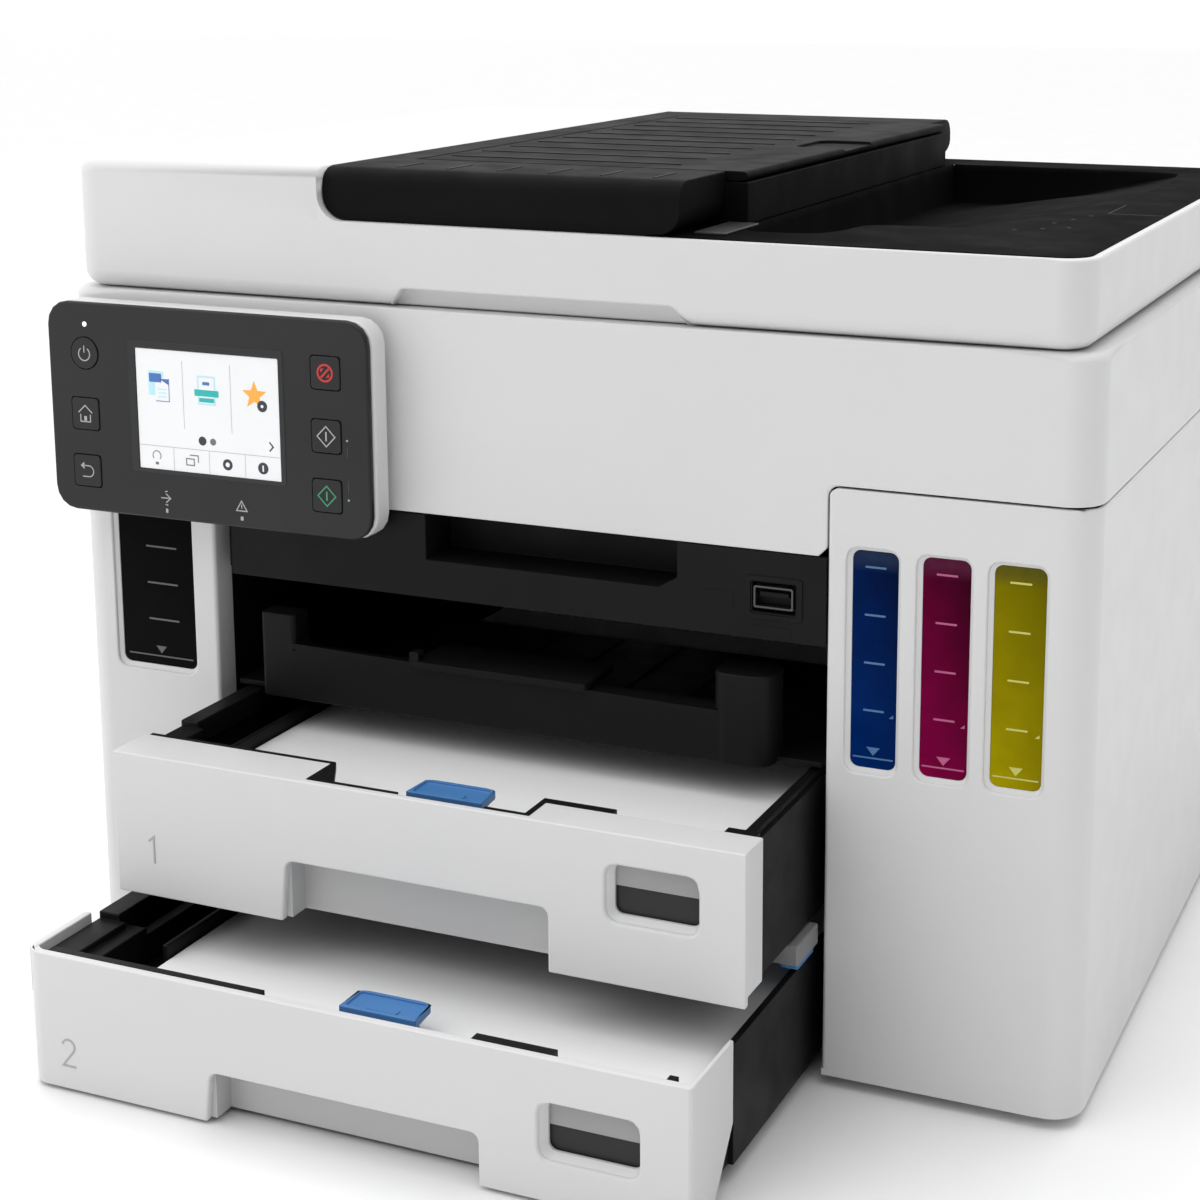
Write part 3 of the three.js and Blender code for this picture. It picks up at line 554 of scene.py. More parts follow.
# ---- pieces
def make_whole(shape, seams=()):
    """Joins the faces that lie in one plane, except across the seams."""
    bmesh.ops.remove_doubles(shape, verts=shape.verts, dist=ONE_CORNER)
    kept = set()
    for axis, at in seams:
        normal = Vector([float(name == axis) for name in "xyz"])
        place = metres(at, at, at)
        bmesh.ops.bisect_plane(shape, geom=shape.verts[:] + shape.edges[:] + shape.faces[:], plane_co=place,
                               plane_no=normal, dist=ON_SEAM / 5)
        kept |= {vertex for vertex in shape.verts if abs((vertex.co - place).dot(normal)) < ON_SEAM}
    bmesh.ops.dissolve_limit(
        shape, angle_limit=FLAT, use_dissolve_boundaries=False,
        verts=[vertex for vertex in shape.verts if vertex not in kept],
        edges=[edge for edge in shape.edges if not (edge.verts[0] in kept and edge.verts[1] in kept)],
    )


def room_for(edge, share):
    """The widest rounding the neighbouring edges leave room for, in millimetres."""
    room = math.inf
    for vertex in edge.verts:
        along = edge.other_vert(vertex).co - vertex.co
        beside = {other for face in edge.link_faces for other in face.edges if vertex in other.verts}
        for other in beside - {edge}:
            way = other.other_vert(vertex).co - vertex.co
            if along.angle(way, 0.0) < SHARP_CORNER:
                room = min(room, share * way.length / MM)
    return room


def round_edges(item, width, segments, rule, share):
    """Rounds the sharp edges. The rule may give an edge its own width, from its middle in millimetres."""
    shape = bmesh.new()
    shape.from_mesh(item.data)
    make_whole(shape, SEAMS.get(item.name.removesuffix("_form"), ()))
    layer = shape.edges.layers.float.new("bevel_weight_edge")
    widest = 0.0
    for edge in shape.edges:
        edge[layer] = 0.0
        if len(edge.link_faces) == 2 and edge.calc_face_angle(0.0) > SHARP_EDGE:
            wanted = rule(*millimetres((edge.verts[0].co + edge.verts[1].co) / 2)) if rule else None
            edge[layer] = min(width if wanted is None else wanted, room_for(edge, share))
            edge.smooth = edge[layer] > 0.0
            widest = max(widest, edge[layer])
    for edge in shape.edges:
        edge[layer] /= widest or 1.0
    for face in shape.faces:
        face.smooth = True
    shape.to_mesh(item.data)
    shape.free()
    if not widest:
        return
    bevel = item.modifiers.new("rounding", "BEVEL")
    bevel.limit_method = "WEIGHT"
    bevel.width = widest * MM
    bevel.segments = segments
    bevel.use_clamp_overlap = False
    bevel.harden_normals = False
    normals = item.modifiers.new("normals", "WEIGHTED_NORMAL")
    normals.keep_sharp = True
    normals.weight = 100


def new_object(name, shape):
    mesh = bpy.data.meshes.new(name)
    shape.to_mesh(mesh)
    shape.free()
    item = bpy.data.objects.new(name, mesh)
    bpy.context.scene.collection.objects.link(item)
    return item


def combine(item, shape, operation):
    tool = new_object("tool", shape)
    modifier = item.modifiers.new("tool", "BOOLEAN")
    modifier.operation = operation
    modifier.solver = "EXACT"
    modifier.object = tool
    graph = bpy.context.evaluated_depsgraph_get()
    mesh = bpy.data.meshes.new_from_object(item.evaluated_get(graph))
    old = item.data
    item.modifiers.clear()
    item.data = mesh
    bpy.data.meshes.remove(old)
    used = tool.data
    bpy.data.objects.remove(tool)
    bpy.data.meshes.remove(used)


def dress(item, body, slot, look=None):
    item.data.materials.clear()
    item.data.materials.append(materials[look or slot])
    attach(item, body)


def piece(name, body, slot, shapes, cuts=(), width=0.3, segments=2, rule=None, stands_for=(), look=None,
          share=0.46):
    """Joins shapes, takes the cuts out of them, rounds the edges and puts the piece on its body."""
    item = new_object(name, shapes[0])
    for shape in shapes[1:]:
        combine(item, shape, "UNION")
    for shape in cuts:
        combine(item, shape, "DIFFERENCE")
    round_edges(item, width, segments, rule, share)
    dress(item, body, slot, look)
    if stands_for:
        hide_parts(*stands_for)
    return item


def soften(node, width=0.4, segments=2, rule=None, adds=(), cuts=(), look=None):
    """The CAD node's own shape with rounded edges and, where given, more detail."""
    return piece(f"{node}_form", BODY_OF[node], SLOT_OF[node], [copy_of(node), *adds], cuts, width, segments,
                 rule, (node,), look)


def decal(name, body, slot, look, shapes):
    """Thin separate shapes on a surface, as one piece with plain edges."""
    piece(name, body, slot, [merged(shapes)], width=0, look=look)


# ---- casing
def add_casing():
    def housing_edges(x, y, z):
        if 0 < x < 113.4 and z > 211 and y < 62:
            return 0.0
        if y < 0.2 and WINDOW_Z[0] - 0.3 < z < WINDOW_Z[1] + 0.3 and -184 < x < 185:
            on_window = any(a - 0.3 < x < b + 0.3 for a, b in (LEFT_WINDOW, *RIGHT_WINDOWS))
            return 0.9 if on_window else 0.4
        if near(z, HOUSING_TOP):
            return 1.1
        return 0.1 if 100 < x < 114 and z < 9 or near(z, 53, 2) else 0.4

    soften("left_housing", 0.4, 3, housing_edges)
    x, z, radius = 109.0, HOUSING_TOP, 4.0
    corner = [(x - 0.6, z + 0.6), (x - 0.6, z - radius), *arc((x + radius, z - radius), radius, 180, 90, 10),
              (x + radius, z + 0.6)]
    soften("right_housing", 0.4, 3, housing_edges, cuts=[prism(corner, "y", (-1, 61))])
    soften("base_pan", 0.5, cuts=[block((-76, 33), (-2, 12.4), (0, 8))])
    for name in ("foot_front_left", "foot_front_right", "foot_rear_left", "foot_rear_right"):
        soften(name, 0.8, 3)
    add_rear()


def add_rear():
    def rear_edges(x, y, z):
        return 0.2 if 169 < z < 205 and 59 < abs(x) < 151 else None

    depth = (REAR - 5, REAR + 2)
    slots = [*range(-150, -60, 6), *range(60, 150, 6)]
    vents = [plate((x, x + 3), (170, 204), depth, 1.4) for x in slots]
    openings = [plate((-142, -126), (72, 86), depth, 0.8), plate((-118, -104), (72, 84), depth, 0.8)]
    soften("rear_housing", 0.8, 3, rear_edges, cuts=vents + openings)
    ports = {"network_port": ((-141.4, -126.6), (72.6, 85.4)), "usb_b_port": ((-117.4, -104.6), (72.6, 83.4))}
    for name, (x, z) in ports.items():
        mouth = plate(inner(x, 0.8, 0.8), inner(z, 0.8, 0.8), (383, 396), 0.4)
        tongue = block(inner(x, 4, 4), (382, 392), (z[0] + 4, z[0] + 6))
        piece(name, "casing", "steel", [plate(x, z, (381, 394.2), 0.6), tongue], [mouth], 0.15)
    for index, x in enumerate((-174.5, -167.5)):
        pin = turned([(379, 0), (379, 1.1), (390, 1.1), (391, 0.6), (391, 0)], "y", (x, 81), 16)
        piece(f"inlet_pin_{index + 1}", "casing", "steel", [pin], width=0.1)

    grip = prism(rectangle((-30, 30), (341, 347), 2.5), "z", (264.6, 267))
    soften("rear_tray_cover", 0.9, 3, cuts=[grip])
    ribs = [block((x, x + 2), (391, 395), (104, 110)) for x in range(72, 120, 6)]
    soften("maintenance_cover", 0.5, 2, cuts=ribs)
    for index, place in enumerate(((-120, 20), (120, 20), (-120, 235), (120, 235), (170, 140))):
        add_screw(f"rear_screw_{index + 1}", place)


def add_screw(name, place):
    """A cross-head screw in the rear housing."""
    x, z = place
    head = turned([(REAR - 1, 0), (REAR - 1, 3.0), (REAR + 0.25, 3.0), (REAR + 0.7, 2.0), (REAR + 0.7, 0)],
                  "y", place, 24)
    depth = (REAR, REAR + 1.5)
    cross = [plate((x - a, x + a), (z - b, z + b), depth) for a, b in ((1.7, 0.35), (0.35, 1.7))]
    piece(name, "casing", "steel", [head], cross, 0.08, 1)


# ---- ink tanks
def add_tanks():
    windows = dict(zip(("black", "cyan", "magenta", "yellow"), (LEFT_WINDOW, *RIGHT_WINDOWS)))
    surface = (PAD_FRONT - 0.12, PAD_FRONT + 0.1)
    for color, window in windows.items():
        tank = f"ink_tank_{color}"
        soften(tank, 0.35, 2)
        soften(f"tank_cap_{color}", 0.8, 3)
        if color == "black":
            heights, ticks = (166.3, 151.8, 137.3), (-169.1, -155.2)
            base, tip = (-179.2, -149.5), (-164.0, 125.2)
            marks = []
        else:
            middle = sum(window) / 2 + 0.5
            heights, ticks = (189.3, 172.7, 156.0, 139.3), (middle - 3.7, middle + 3.6)
            base, tip = inner(window, 2.6, 1.8), (middle, 125.0)
            marks = drawing((window[1] - 1.9, 137.3), surface, (0, [(-1.5, 0), (0, 1.3), (0, 0)]))
        marks += [plate(ticks, (z - 0.35, z + 0.35), surface, 0.2, 2) for z in heights]
        marks.append(plate(base, (122.2, 122.75), surface))
        marks += drawing(tip, surface, (0, [(-2.4, 1.3), (2.4, 1.3), (0, -1.6)]))
        bezel = funnel(rectangle(inner(window, -0.15, -0.15), inner(WINDOW_Z, -0.15, -0.15), 4.1),
                       rectangle(inner(window, 1.7, 0.85), inner(WINDOW_Z, 1.7, 1.05), 3.0),
                       "y", (0.9, 2.6), (1.75, 2.6))
        piece(f"window_bezel_{color}", BODY_OF[tank], "body_white", [bezel], width=0.1, segments=1)
        decal(f"level_marks_{color}", BODY_OF[tank], SLOT_OF[tank], f"mark_{color}", marks)


# ---- panel above the output bay, and the insides
def add_usb_panel():
    end = block((-140, -128.6), (-1, 9.6), (159, 192))
    filler = block((-135.9, -127.4), (2, 11.6), (160, 191.2))
    soften("usb_panel", 0.4, 3, lambda x, y, z: 0.15 if x < -127 else None, adds=[filler], cuts=[end])
    x, z = (82.6, 97.0), (171.4, 179.2)
    inside = inner(x, 0.7, 0.7), inner(z, 0.7, 0.7)
    shell = ring(rectangle(x, z, 0.8), rectangle(*inside, 0.5), "y", (-0.6, 14))
    piece("usb_port_shell", "casing", "steel", [shell], width=0.15, stands_for=("usb_port",),
          look="dull_steel")
    heart = block(inside[0], (3.0, 13.6), inside[1])
    tongue = block(inner(x, 2, 2), (0.6, 4), (z[0] + 4, z[0] + 5.6))
    piece("usb_port_heart", "casing", "body_black", [heart, tongue], width=0.15)
    rim = ring(rectangle((79.6, 100.2), (167.4, 182.6), 1.4), rectangle((81.4, 98.2), (169.2, 180.9), 1.0),
               "y", (-0.5, 0.4))
    piece("usb_port_frame", "casing", "body_black", [rim], width=0.2)
    thin = (-0.15, 0.3)
    plates = merged([plate((64, 75), (170, 176), thin, 0.8), plate((82, 96), (161.6, 165), thin, 0.6)])
    piece("usb_port_plates", "casing", "body_black", [plates], width=0.05, segments=1)


def add_mechanism():
    soften("chassis", 0.5)
    for name in ("guide_rail", "feed_roller", "exit_roller"):
        soften(name, 0.3)
    soften("pickup_arm", 0.5)
    centre = (205, 111.4)
    outer, core = circle(*centre, 12, 40), circle(*centre, 9.5, 40)
    grooves = [ring(outer, core, "x", (x, x + 0.8)) for x in (-8, -4, 0, 4, 7)]
    soften("pickup_roller", 0.3, cuts=grooves)
    soften("carriage", 0.8, 3)
    soften("printhead", 0.5)
    teeth = [block((x, x + 1.2), (219.6, 220.5), (177.5, 183.5)) for x in range(-180, 180, 6)]
    soften("carriage_belt", 0, cuts=[merged(teeth)])
    soften("power_supply", 0.6)
    chips = []
    for index in range(4):
        left, low = -60 + 34 * index, 150 + 18 * (index % 2)
        chips.append(block((left, left + 20), (333.9, 335), (low, low + 18)))
    soften("mainboard", 0.1)
    piece("mainboard_chips", "casing", "body_black", [merged(chips)], width=0.3)
    soften("maintenance_cartridge", 0.8)


# ---- cassettes
def digit_one(x, z):
    return [(x - 1.6, z + 3.2), (x + 0.6, z + 5.0), (x + 0.6, z - 5.0)]


def digit_two(x, z):
    return [*arc((x, z + 2.3), 2.6, 165, -33, 9), (x - 2.6, z - 5.0), (x + 2.9, z - 5.0)]


def add_cassette(name, front, width, notch, pocket, back, lips, steps, window, level, digit):
    """A white front with its grip pocket, level window and number, and the black tray behind it."""
    x, z = window
    left, right = notch
    low, high = pocket

    def front_edges(px, py, pz):
        if not near(py, front):
            return width
        if x[0] + 0.6 < px < x[1] - 0.1 and z[0] + 1 < pz < z[1] - 0.5:
            return 1.3
        return 0.9 if left - 2.5 < px < right + 0.5 and pz < high else width

    soften(f"{name}_front", width, 3, front_edges)
    if name == "cassette_2":
        add_bend(front)
    walls = [
        block((left - 2.4, right + 0.4), (back, back + 0.6), pocket),
        prism([(left - 2.4, low), (left + 0.6, low), (left + 0.6, high), (left - 0.6, high)], "y",
              (front + 2.6, back + 0.2)),
        block((left - 0.4, right + 0.3), (front + 2.9, back + 0.2), (high - 0.9, high)),
        block((right - 0.6, right + 0.9), (front + 2.9, back + 0.2), pocket),
    ]
    # Painted shade: the pocket walls take a darker white for the shade in the pocket.
    piece(f"{name}_grip_pocket", name, "body_white", walls, width=0.12, look="pocket_white")
    tray_cuts = [block((-150, -139.6), (-110, 100), (45.2, 51))] if name == "cassette_2" else []
    soften(f"{name}_tray", 0.45, 2, lambda px, py, pz: 0.12 if py < -60 or px > 95 else None, cuts=tray_cuts)
    piece(f"{name}_lip", name, "body_black", lips[:1], width=0.3)
    for index, shape in enumerate(lips[1:]):
        piece(f"{name}_lip_{index + 2}", name, "body_black", [shape], width=0.12)
    piece(f"{name}_rail", name, "body_black", steps, width=0.6)
    add_level_window(name, x, z, front, level)
    number = line(digit, 0.75, (front - 0.22, front + 0.3))
    piece(f"{name}_digit", name, "body_white", [number], width=0.12, look="digit")


def add_bend(front):
    """The fillet behind the lower front's left end."""
    left, radius = -146.6, 7.0
    centre = (left + 0.2 + radius, front + 3 + radius)
    bend = [(left, front + 2.8), (centre[0], front + 2.8), *arc(centre, radius, 270, 180, 8)]
    bend.append((left, centre[1]))
    piece("cassette_2_front_bend", "cassette_2", "body_white", [prism(bend, "z", (34, 50.3))], width=0.15)


def add_level_window(name, x, z, front, level):
    """What shows behind the cassette's level window: paper edges painted grey for the shade inside the
    cassette, over a dark plate that stands in for the shaded recess below them.
    """
    bezel = funnel(rectangle(inner(x, 1.1, 0.6), inner(z, 1.1, 0.7), 4.4),
                   rectangle(inner(x, 3.6, 1.6), inner(z, 3.5, 1.7), 2.8),
                   "y", (front + 0.9, front + 4.5), (front + 3.4, front + 4.5))
    piece(f"{name}_window_bezel", name, "body_white", [bezel], width=0.1, segments=1)
    # Painted shade: the paper behind the window takes a grey look, darker than the paper's own white, for the
    # shade inside the cassette.
    paper = plate(x, (level, z[1]), (front + 4.6, front + 6.4))
    piece(f"{name}_window_paper", name, "paper", [paper], width=0.1, look="paper_painted_shade")
    # Painted shade: a dark plate where the recess below the paper lies in shade.
    shade_plate = plate(x, (z[0], level - 0.1), (front + 5.1, front + 6.4))
    piece(f"{name}_recess_painted_shade", name, "body_black", [shade_plate], width=0.1, look="recess_painted_shade")


def add_upper_cassette():
    high = (109.9, 112.7)
    lips = [
        prism([(-131.6, -67.8), (-45.2, -67.8), (-45.2, -65.9), (-54.4, -49.4), (-131.6, -49.4)], "z", high),
        prism([(-46.4, -68.2), (30.6, -68.2), (30.6, -65.8), (13, -65.8), (13, -67.85), (-20, -67.85),
               (-20, -65.8), (-46.4, -65.8)], "z", (109.9, 112.6)),
        block((27.9, 54.6), (-67.8, -51.6), high),
        block((94.2, 105.2), (-67.8, -51.4), high),
    ]
    steps = [
        block((-130.2, -120.4), (-50, -34), (104, 110.6)),
        block((-130.2, -122.6), (-34.4, 200), (104, 112.9)),
        block((-130, -124.9), (-48, -26), (96, 106)),
        block((-129.8, -125.3), (-30, 10), (94, 108)),
        block((99.4, 103.4), (-52, 200), (98, 112.2)),
    ]
    add_cassette("cassette_1", -71.0, 0.55, (-62.5, 38.0), (61.2, 83.4), -60.0, lips, steps,
                 ((57.4, 92.6), (80.4, 103.0)), 93.2, digit_one(-117.8, 77.9))
    catch = block((97.5, 107.4), (-21, 0), (53, 60.6))
    piece("cassette_1_catch", "cassette_1", "grey_plastic", [catch], width=0.8, segments=3)
    lever = block((100.5, 107.2), (-20, -4), (51.4, 57))
    piece("cassette_1_catch_lever", "cassette_1", "guide_blue", [lever], width=0.8, segments=3)


def add_lower_cassette():
    high = (47.6, 50.4)
    lips = [
        block((-138.5, -52.5), (-104.6, -101.0), high),
        block((27, 56), (-104.6, -100.3), high),
        block((95.0, 98.0), (-104.6, -101.4), high),
    ]
    steps = [
        block((-143.4, -132), (-102.8, -70), (40, 47.6)),
        block((-143.4, -134.5), (-70.4, 180), (40, 50.2)),
        block((-135, -126), (-92, -66), (36, 45)),
        block((-131, -126.2), (-84, 160), (32, 42)),
    ]
    add_cassette("cassette_2", -107.5, 0.6, (-71.5, 30.5), (1.8, 20.0), -96.6, lips, steps,
                 ((50.6, 88.0), (14.0, 36.4)), 25.9, digit_two(-130.0, 15.0))


def add_paper_stack(name, shift, sheaves=7):
    """A stack in a few sheaves, each a little out of line."""
    x, y, (low, high) = zip(*(millimetres(corner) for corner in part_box(f"{name}_paper")))
    step = (high - low) / sheaves
    slabs = []
    for index in range(sheaves):
        slip = shift * math.sin(index * 2.1)
        z = low + index * step
        top = z + step if index < sheaves - 1 else high
        slabs.append(block(inner(x, 0.3 + slip, 0.3 - slip), inner(y, 0.3 - slip, 0.3), (z + 0.02, top)))
    piece(f"{name}_paper_stack", name, "paper", [merged(slabs)], width=0.12, stands_for=(f"{name}_paper",))


def add_guides(name):
    x, y, z = millimetres(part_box(f"{name}_side_guide")[0])
    grips = [block((x + step, x + step + 1), (y + 45, y + 75), (z + 2.4, z + 4)) for step in (2, 4, 6, 8)]
    soften(f"{name}_side_guide", 0.4, adds=grips)
    x, y, (_, top) = zip(*(millimetres(corner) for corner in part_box(f"{name}_end_guide")))
    hollow = prism(rectangle(inner(x, 1.8, 1.8), inner(y, 1.6, 1.4), 1.2), "z", (top - 0.8, top + 1))
    soften(f"{name}_end_guide", 0.5, 3, cuts=[hollow])
    middle = sum(x) / 2
    across, along = (middle - 6, middle + 6), (y[0] + 2.4, y[0] + 5.4)
    grip = prism(rectangle(across, along, 0.8), "z", (top - 1.0, top - 0.4))
    piece(f"{name}_end_guide_grip", f"{name}_end_guide", "guide_blue", [grip], width=0.2)


def add_paper_and_guides():
    for name, shift in (("cassette_1", 0.28), ("cassette_2", -0.28)):
        add_paper_stack(name, shift)
        add_guides(name)


# ---- output tray and scanner
def add_output_tray():
    low = 113.6

    def tray_edges(x, y, z):
        if near(x, -102) and near(z, 133):
            return 5.0
        if z > 140:
            return 0.7
        return 0.8 if y < 1 else 0.5

    ribs = [block((x, x + 2.2), (12, 110), (low + 2.0, low + 3.0)) for x in range(-96, 66, 26)]
    soften("output_tray", 0.5, 3, tray_edges, adds=ribs)
    soften("output_support", 0.7, 3)
    tab = plate((-51.5, -47.5), (133.8, 139.5), (-2.6, 2), 0.8, 8)
    piece("output_support_tab", "output_support", "body_black", [tab], width=0.4)


def add_scanner():
    def scanner_edges(x, y, z):
        if near(z, SCANNER_TOP) and (y < 12 or y > 320 or abs(x) > 187):
            return 4.2
        if near(x, 108.6) and y < 3:
            if near(z, 216.4):
                return 4.4
            if near(z, 194.6):
                return 1.2
        return 0.4

    soften("scanner_housing", 0.4, 4, scanner_edges)
    soften("scanner_glass", 0.2)
    soften("scan_bar", 0.6, 2, cuts=[block((-131, -127), (24, 271), (258, 260))])
    lamp = block((-130.8, -127.2), (24.2, 270.8), (257.8, 258.9))
    piece("scan_bar_lamp", "scan_bar", "glass", [lamp], width=0.2)
    arrow = prism([(-147, 24.4), (-141, 21.6), (-141, 27.2)], "z", (SCANNER_TOP - 0.1, SCANNER_TOP + 0.12))
    decal("corner_arrow", "scanner_unit", "body_black", "icon_dark", [arrow])


# ---- control panel
def add_panel():
    def back_edges(x, y, z):
        if y > -5.3 and not near(y, -5.2, 0.2):
            return 0.4
        if near(y, -5) and x > -58:
            return 3.6
        return 1.3 if near(y, -13.4) or near(y, -5) else 0.5

    soften("panel_back", 1.0, 4, back_edges)

    def face_edges(x, y, z):
        outer = x < -194 or x > -59 or z < 185 or z > 261
        return (1.0 if y < -15 else 0.5) if outer or z < 190 or z > 256 else 0.22

    soften("panel_face", 0.22, 3, face_edges)
    soften("panel_screen", 0.15)
    for name in ("power", "home", "back", "stop", "black_start", "color_start"):
        soften(f"{name}_button", 0.35, 3)
    add_button_icons()
    add_panel_marks()
    add_display()


def add_button_icons():
    face = (BUTTON_FRONT - 0.06, BUTTON_FRONT + 0.1)
    thin, bold = 0.42, 0.75
    bar = [(-1.7, -1.7), (1.7, 1.7)]
    start = (0.45, [(-3.7, 0), (0, 3.7), (3.7, 0), (0, -3.7), (-3.7, 0)]), (0.6, [(0, 1.7), (0, -1.7)])
    icons = {
        "power": ("icon", (-179.2, 243.8), (thin, arc((0, -0.3), 2.5, 125, 415, 20)),
                  (thin, [(0, 0.2), (0, 2.9)])),
        "home": ("icon", (-180.0, 220.7), (thin, [(-3.1, 0.4), (0, 3.2), (3.1, 0.4)]),
                 (thin, [(-2.2, -0.2), (-2.2, -3.0), (2.2, -3.0), (2.2, -0.2)]),
                 (0, rectangle((-0.6, 0.6), (-2.6, -0.9)))),
        "back": ("icon", (-180.4, 198.8),
                 (thin, [(-1.6, 1.9), (0.6, 1.9), *arc((0.7, -0.2), 2.1, 90, -90, 12), (-2.2, -2.3)]),
                 (0, [(-3.0, 1.9), (-1.3, 3.3), (-1.3, 0.5)])),
        "stop": ("icon_red", (-74.8, 243.8), (bold, [*circle(0, 0, 3.0, 20), (3.0, 0.0)]), (bold, bar),
                 (0, [(-1.9, 1.5), (-0.4, 1.7), (-1.7, 0.1)]), (0, [(1.9, -1.5), (0.4, -1.7), (1.7, -0.1)])),
        "black_start": ("icon", (-75.1, 220.7), *start),
        "color_start": ("icon_green", (-75.5, 198.8), *start),
    }
    for name, (look, place, *strokes) in icons.items():
        decal(f"{name}_icon", f"{name}_button", "panel_black", look, drawing(place, face, *strokes))


def add_panel_marks():
    face = (PANEL_FRONT - 0.06, PANEL_FRONT + 0.1)
    lamp = prism(circle(-178.6, 254.8, 0.95, 20), "y", (PANEL_FRONT - 0.2, PANEL_FRONT + 0.2))
    piece("power_lamp", "control_panel", "panel_black", [lamp], width=0.15, look="lamp")
    connect = drawing(
        (-145.2, 191.4), face, (0.42, [(-2.4, 0), (1.2, 0)]), (0.42, [(-0.2, 1.7), (1.8, 0), (-0.2, -1.7)]),
        (0.4, [(-0.6, 2.4), (0.6, 2.7)]), (0.4, [(-0.6, -2.4), (0.6, -2.7)]),
        (0, rectangle((-0.5, 0.5), (-5.6, -4.0), 0.2, 2)),
    )
    alarm = drawing(
        (-112.2, 191.5), face, (0.42, [(-2.3, -1.8), (0, 1.9), (2.3, -1.8), (-2.3, -1.8)]),
        (0, rectangle((-0.2, 0.2), (-0.9, 0.6))), (0, rectangle((-0.6, 0.6), (-5.4, -3.9), 0.2, 2)),
    )
    dots = [prism(circle(-66.6, z, 0.42, 12), "y", face) for z in (219.8, 198.0)]
    decal("panel_marks", "control_panel", "panel_black", "icon", connect + alarm + dots)
    brackets = [line([(-66.6, z), (-66.6, z - drop)], 0.18, face) for z, drop in ((217.4, 4.0), (205.4, 4.8))]
    decal("panel_bracket", "control_panel", "panel_black", "icon_dim", brackets)


def draw(name, look, shapes):
    decal(name, "control_panel", "screen", look, shapes)


def draw_copy(place):
    """Two sheets with a picture."""
    top, over, last = LAYERS
    draw("copy_back_page", "display_sky", drawing(place, top, (0, rectangle((-4.6, 2.2), (-3.4, 5.8), 0.5))))
    draw("copy_page", "display", drawing(place, over, (0, rectangle((-1.6, 4.6), (-5.6, 3.4), 0.4))))
    draw("copy_picture", "display_blue", drawing(
        place, last, (0, rectangle((-4.2, 1.2), (1.6, 4.9), 0.3)), (0, [(0.2, 3.0), (4.4, 0.8), (4.4, 3.0)]),
        (0.3, [(-1.4, -5.4), (4.4, -5.4), (4.4, 3.2)]),
    ))
    rows = [(0, rectangle((-0.4, 3.2), (-drop, 0.5 - drop))) for drop in (1.2, 2.6, 4.0)]
    draw("copy_lines", "display_sky", drawing(place, last, *rows))


def draw_scan(place):
    """A sheet under a scan bar."""
    top, over, last = LAYERS
    draw("scan_page", "display_sky", drawing(place, top, (0, rectangle((-3.9, 3.9), (-5.4, 5.4), 0.3))))
    draw("scan_sheet", "display", drawing(place, over, (0, rectangle((-3.2, 3.2), (-4.8, 4.8), 0.3))))
    bars = [(0, rectangle((-5.2, 5.2), (-2.2, 0.2), 0.3)), (0, rectangle((-3.2, 3.2), (-4.4, -2.8)))]
    draw("scan_bar_drawing", "display_teal", drawing(place, last, *bars))
    draw("scan_picture", "display_blue", drawing(place, last, (0, rectangle((-1.6, 1.4), (2.0, 3.2)))))


def draw_star(place):
    """A star with a dark dot beside it."""
    reaches = (5.4, 2.3) * 5
    star = [arc((0, -0.2), reach, 90 + 36 * index, 0, 1)[0] for index, reach in enumerate(reaches)]
    draw("star", "display_orange", drawing(place, LAYERS[0], (0, star)))
    return drawing(place, LAYERS[1], (0, circle(3.2, -4.0, 2.1, 24)))


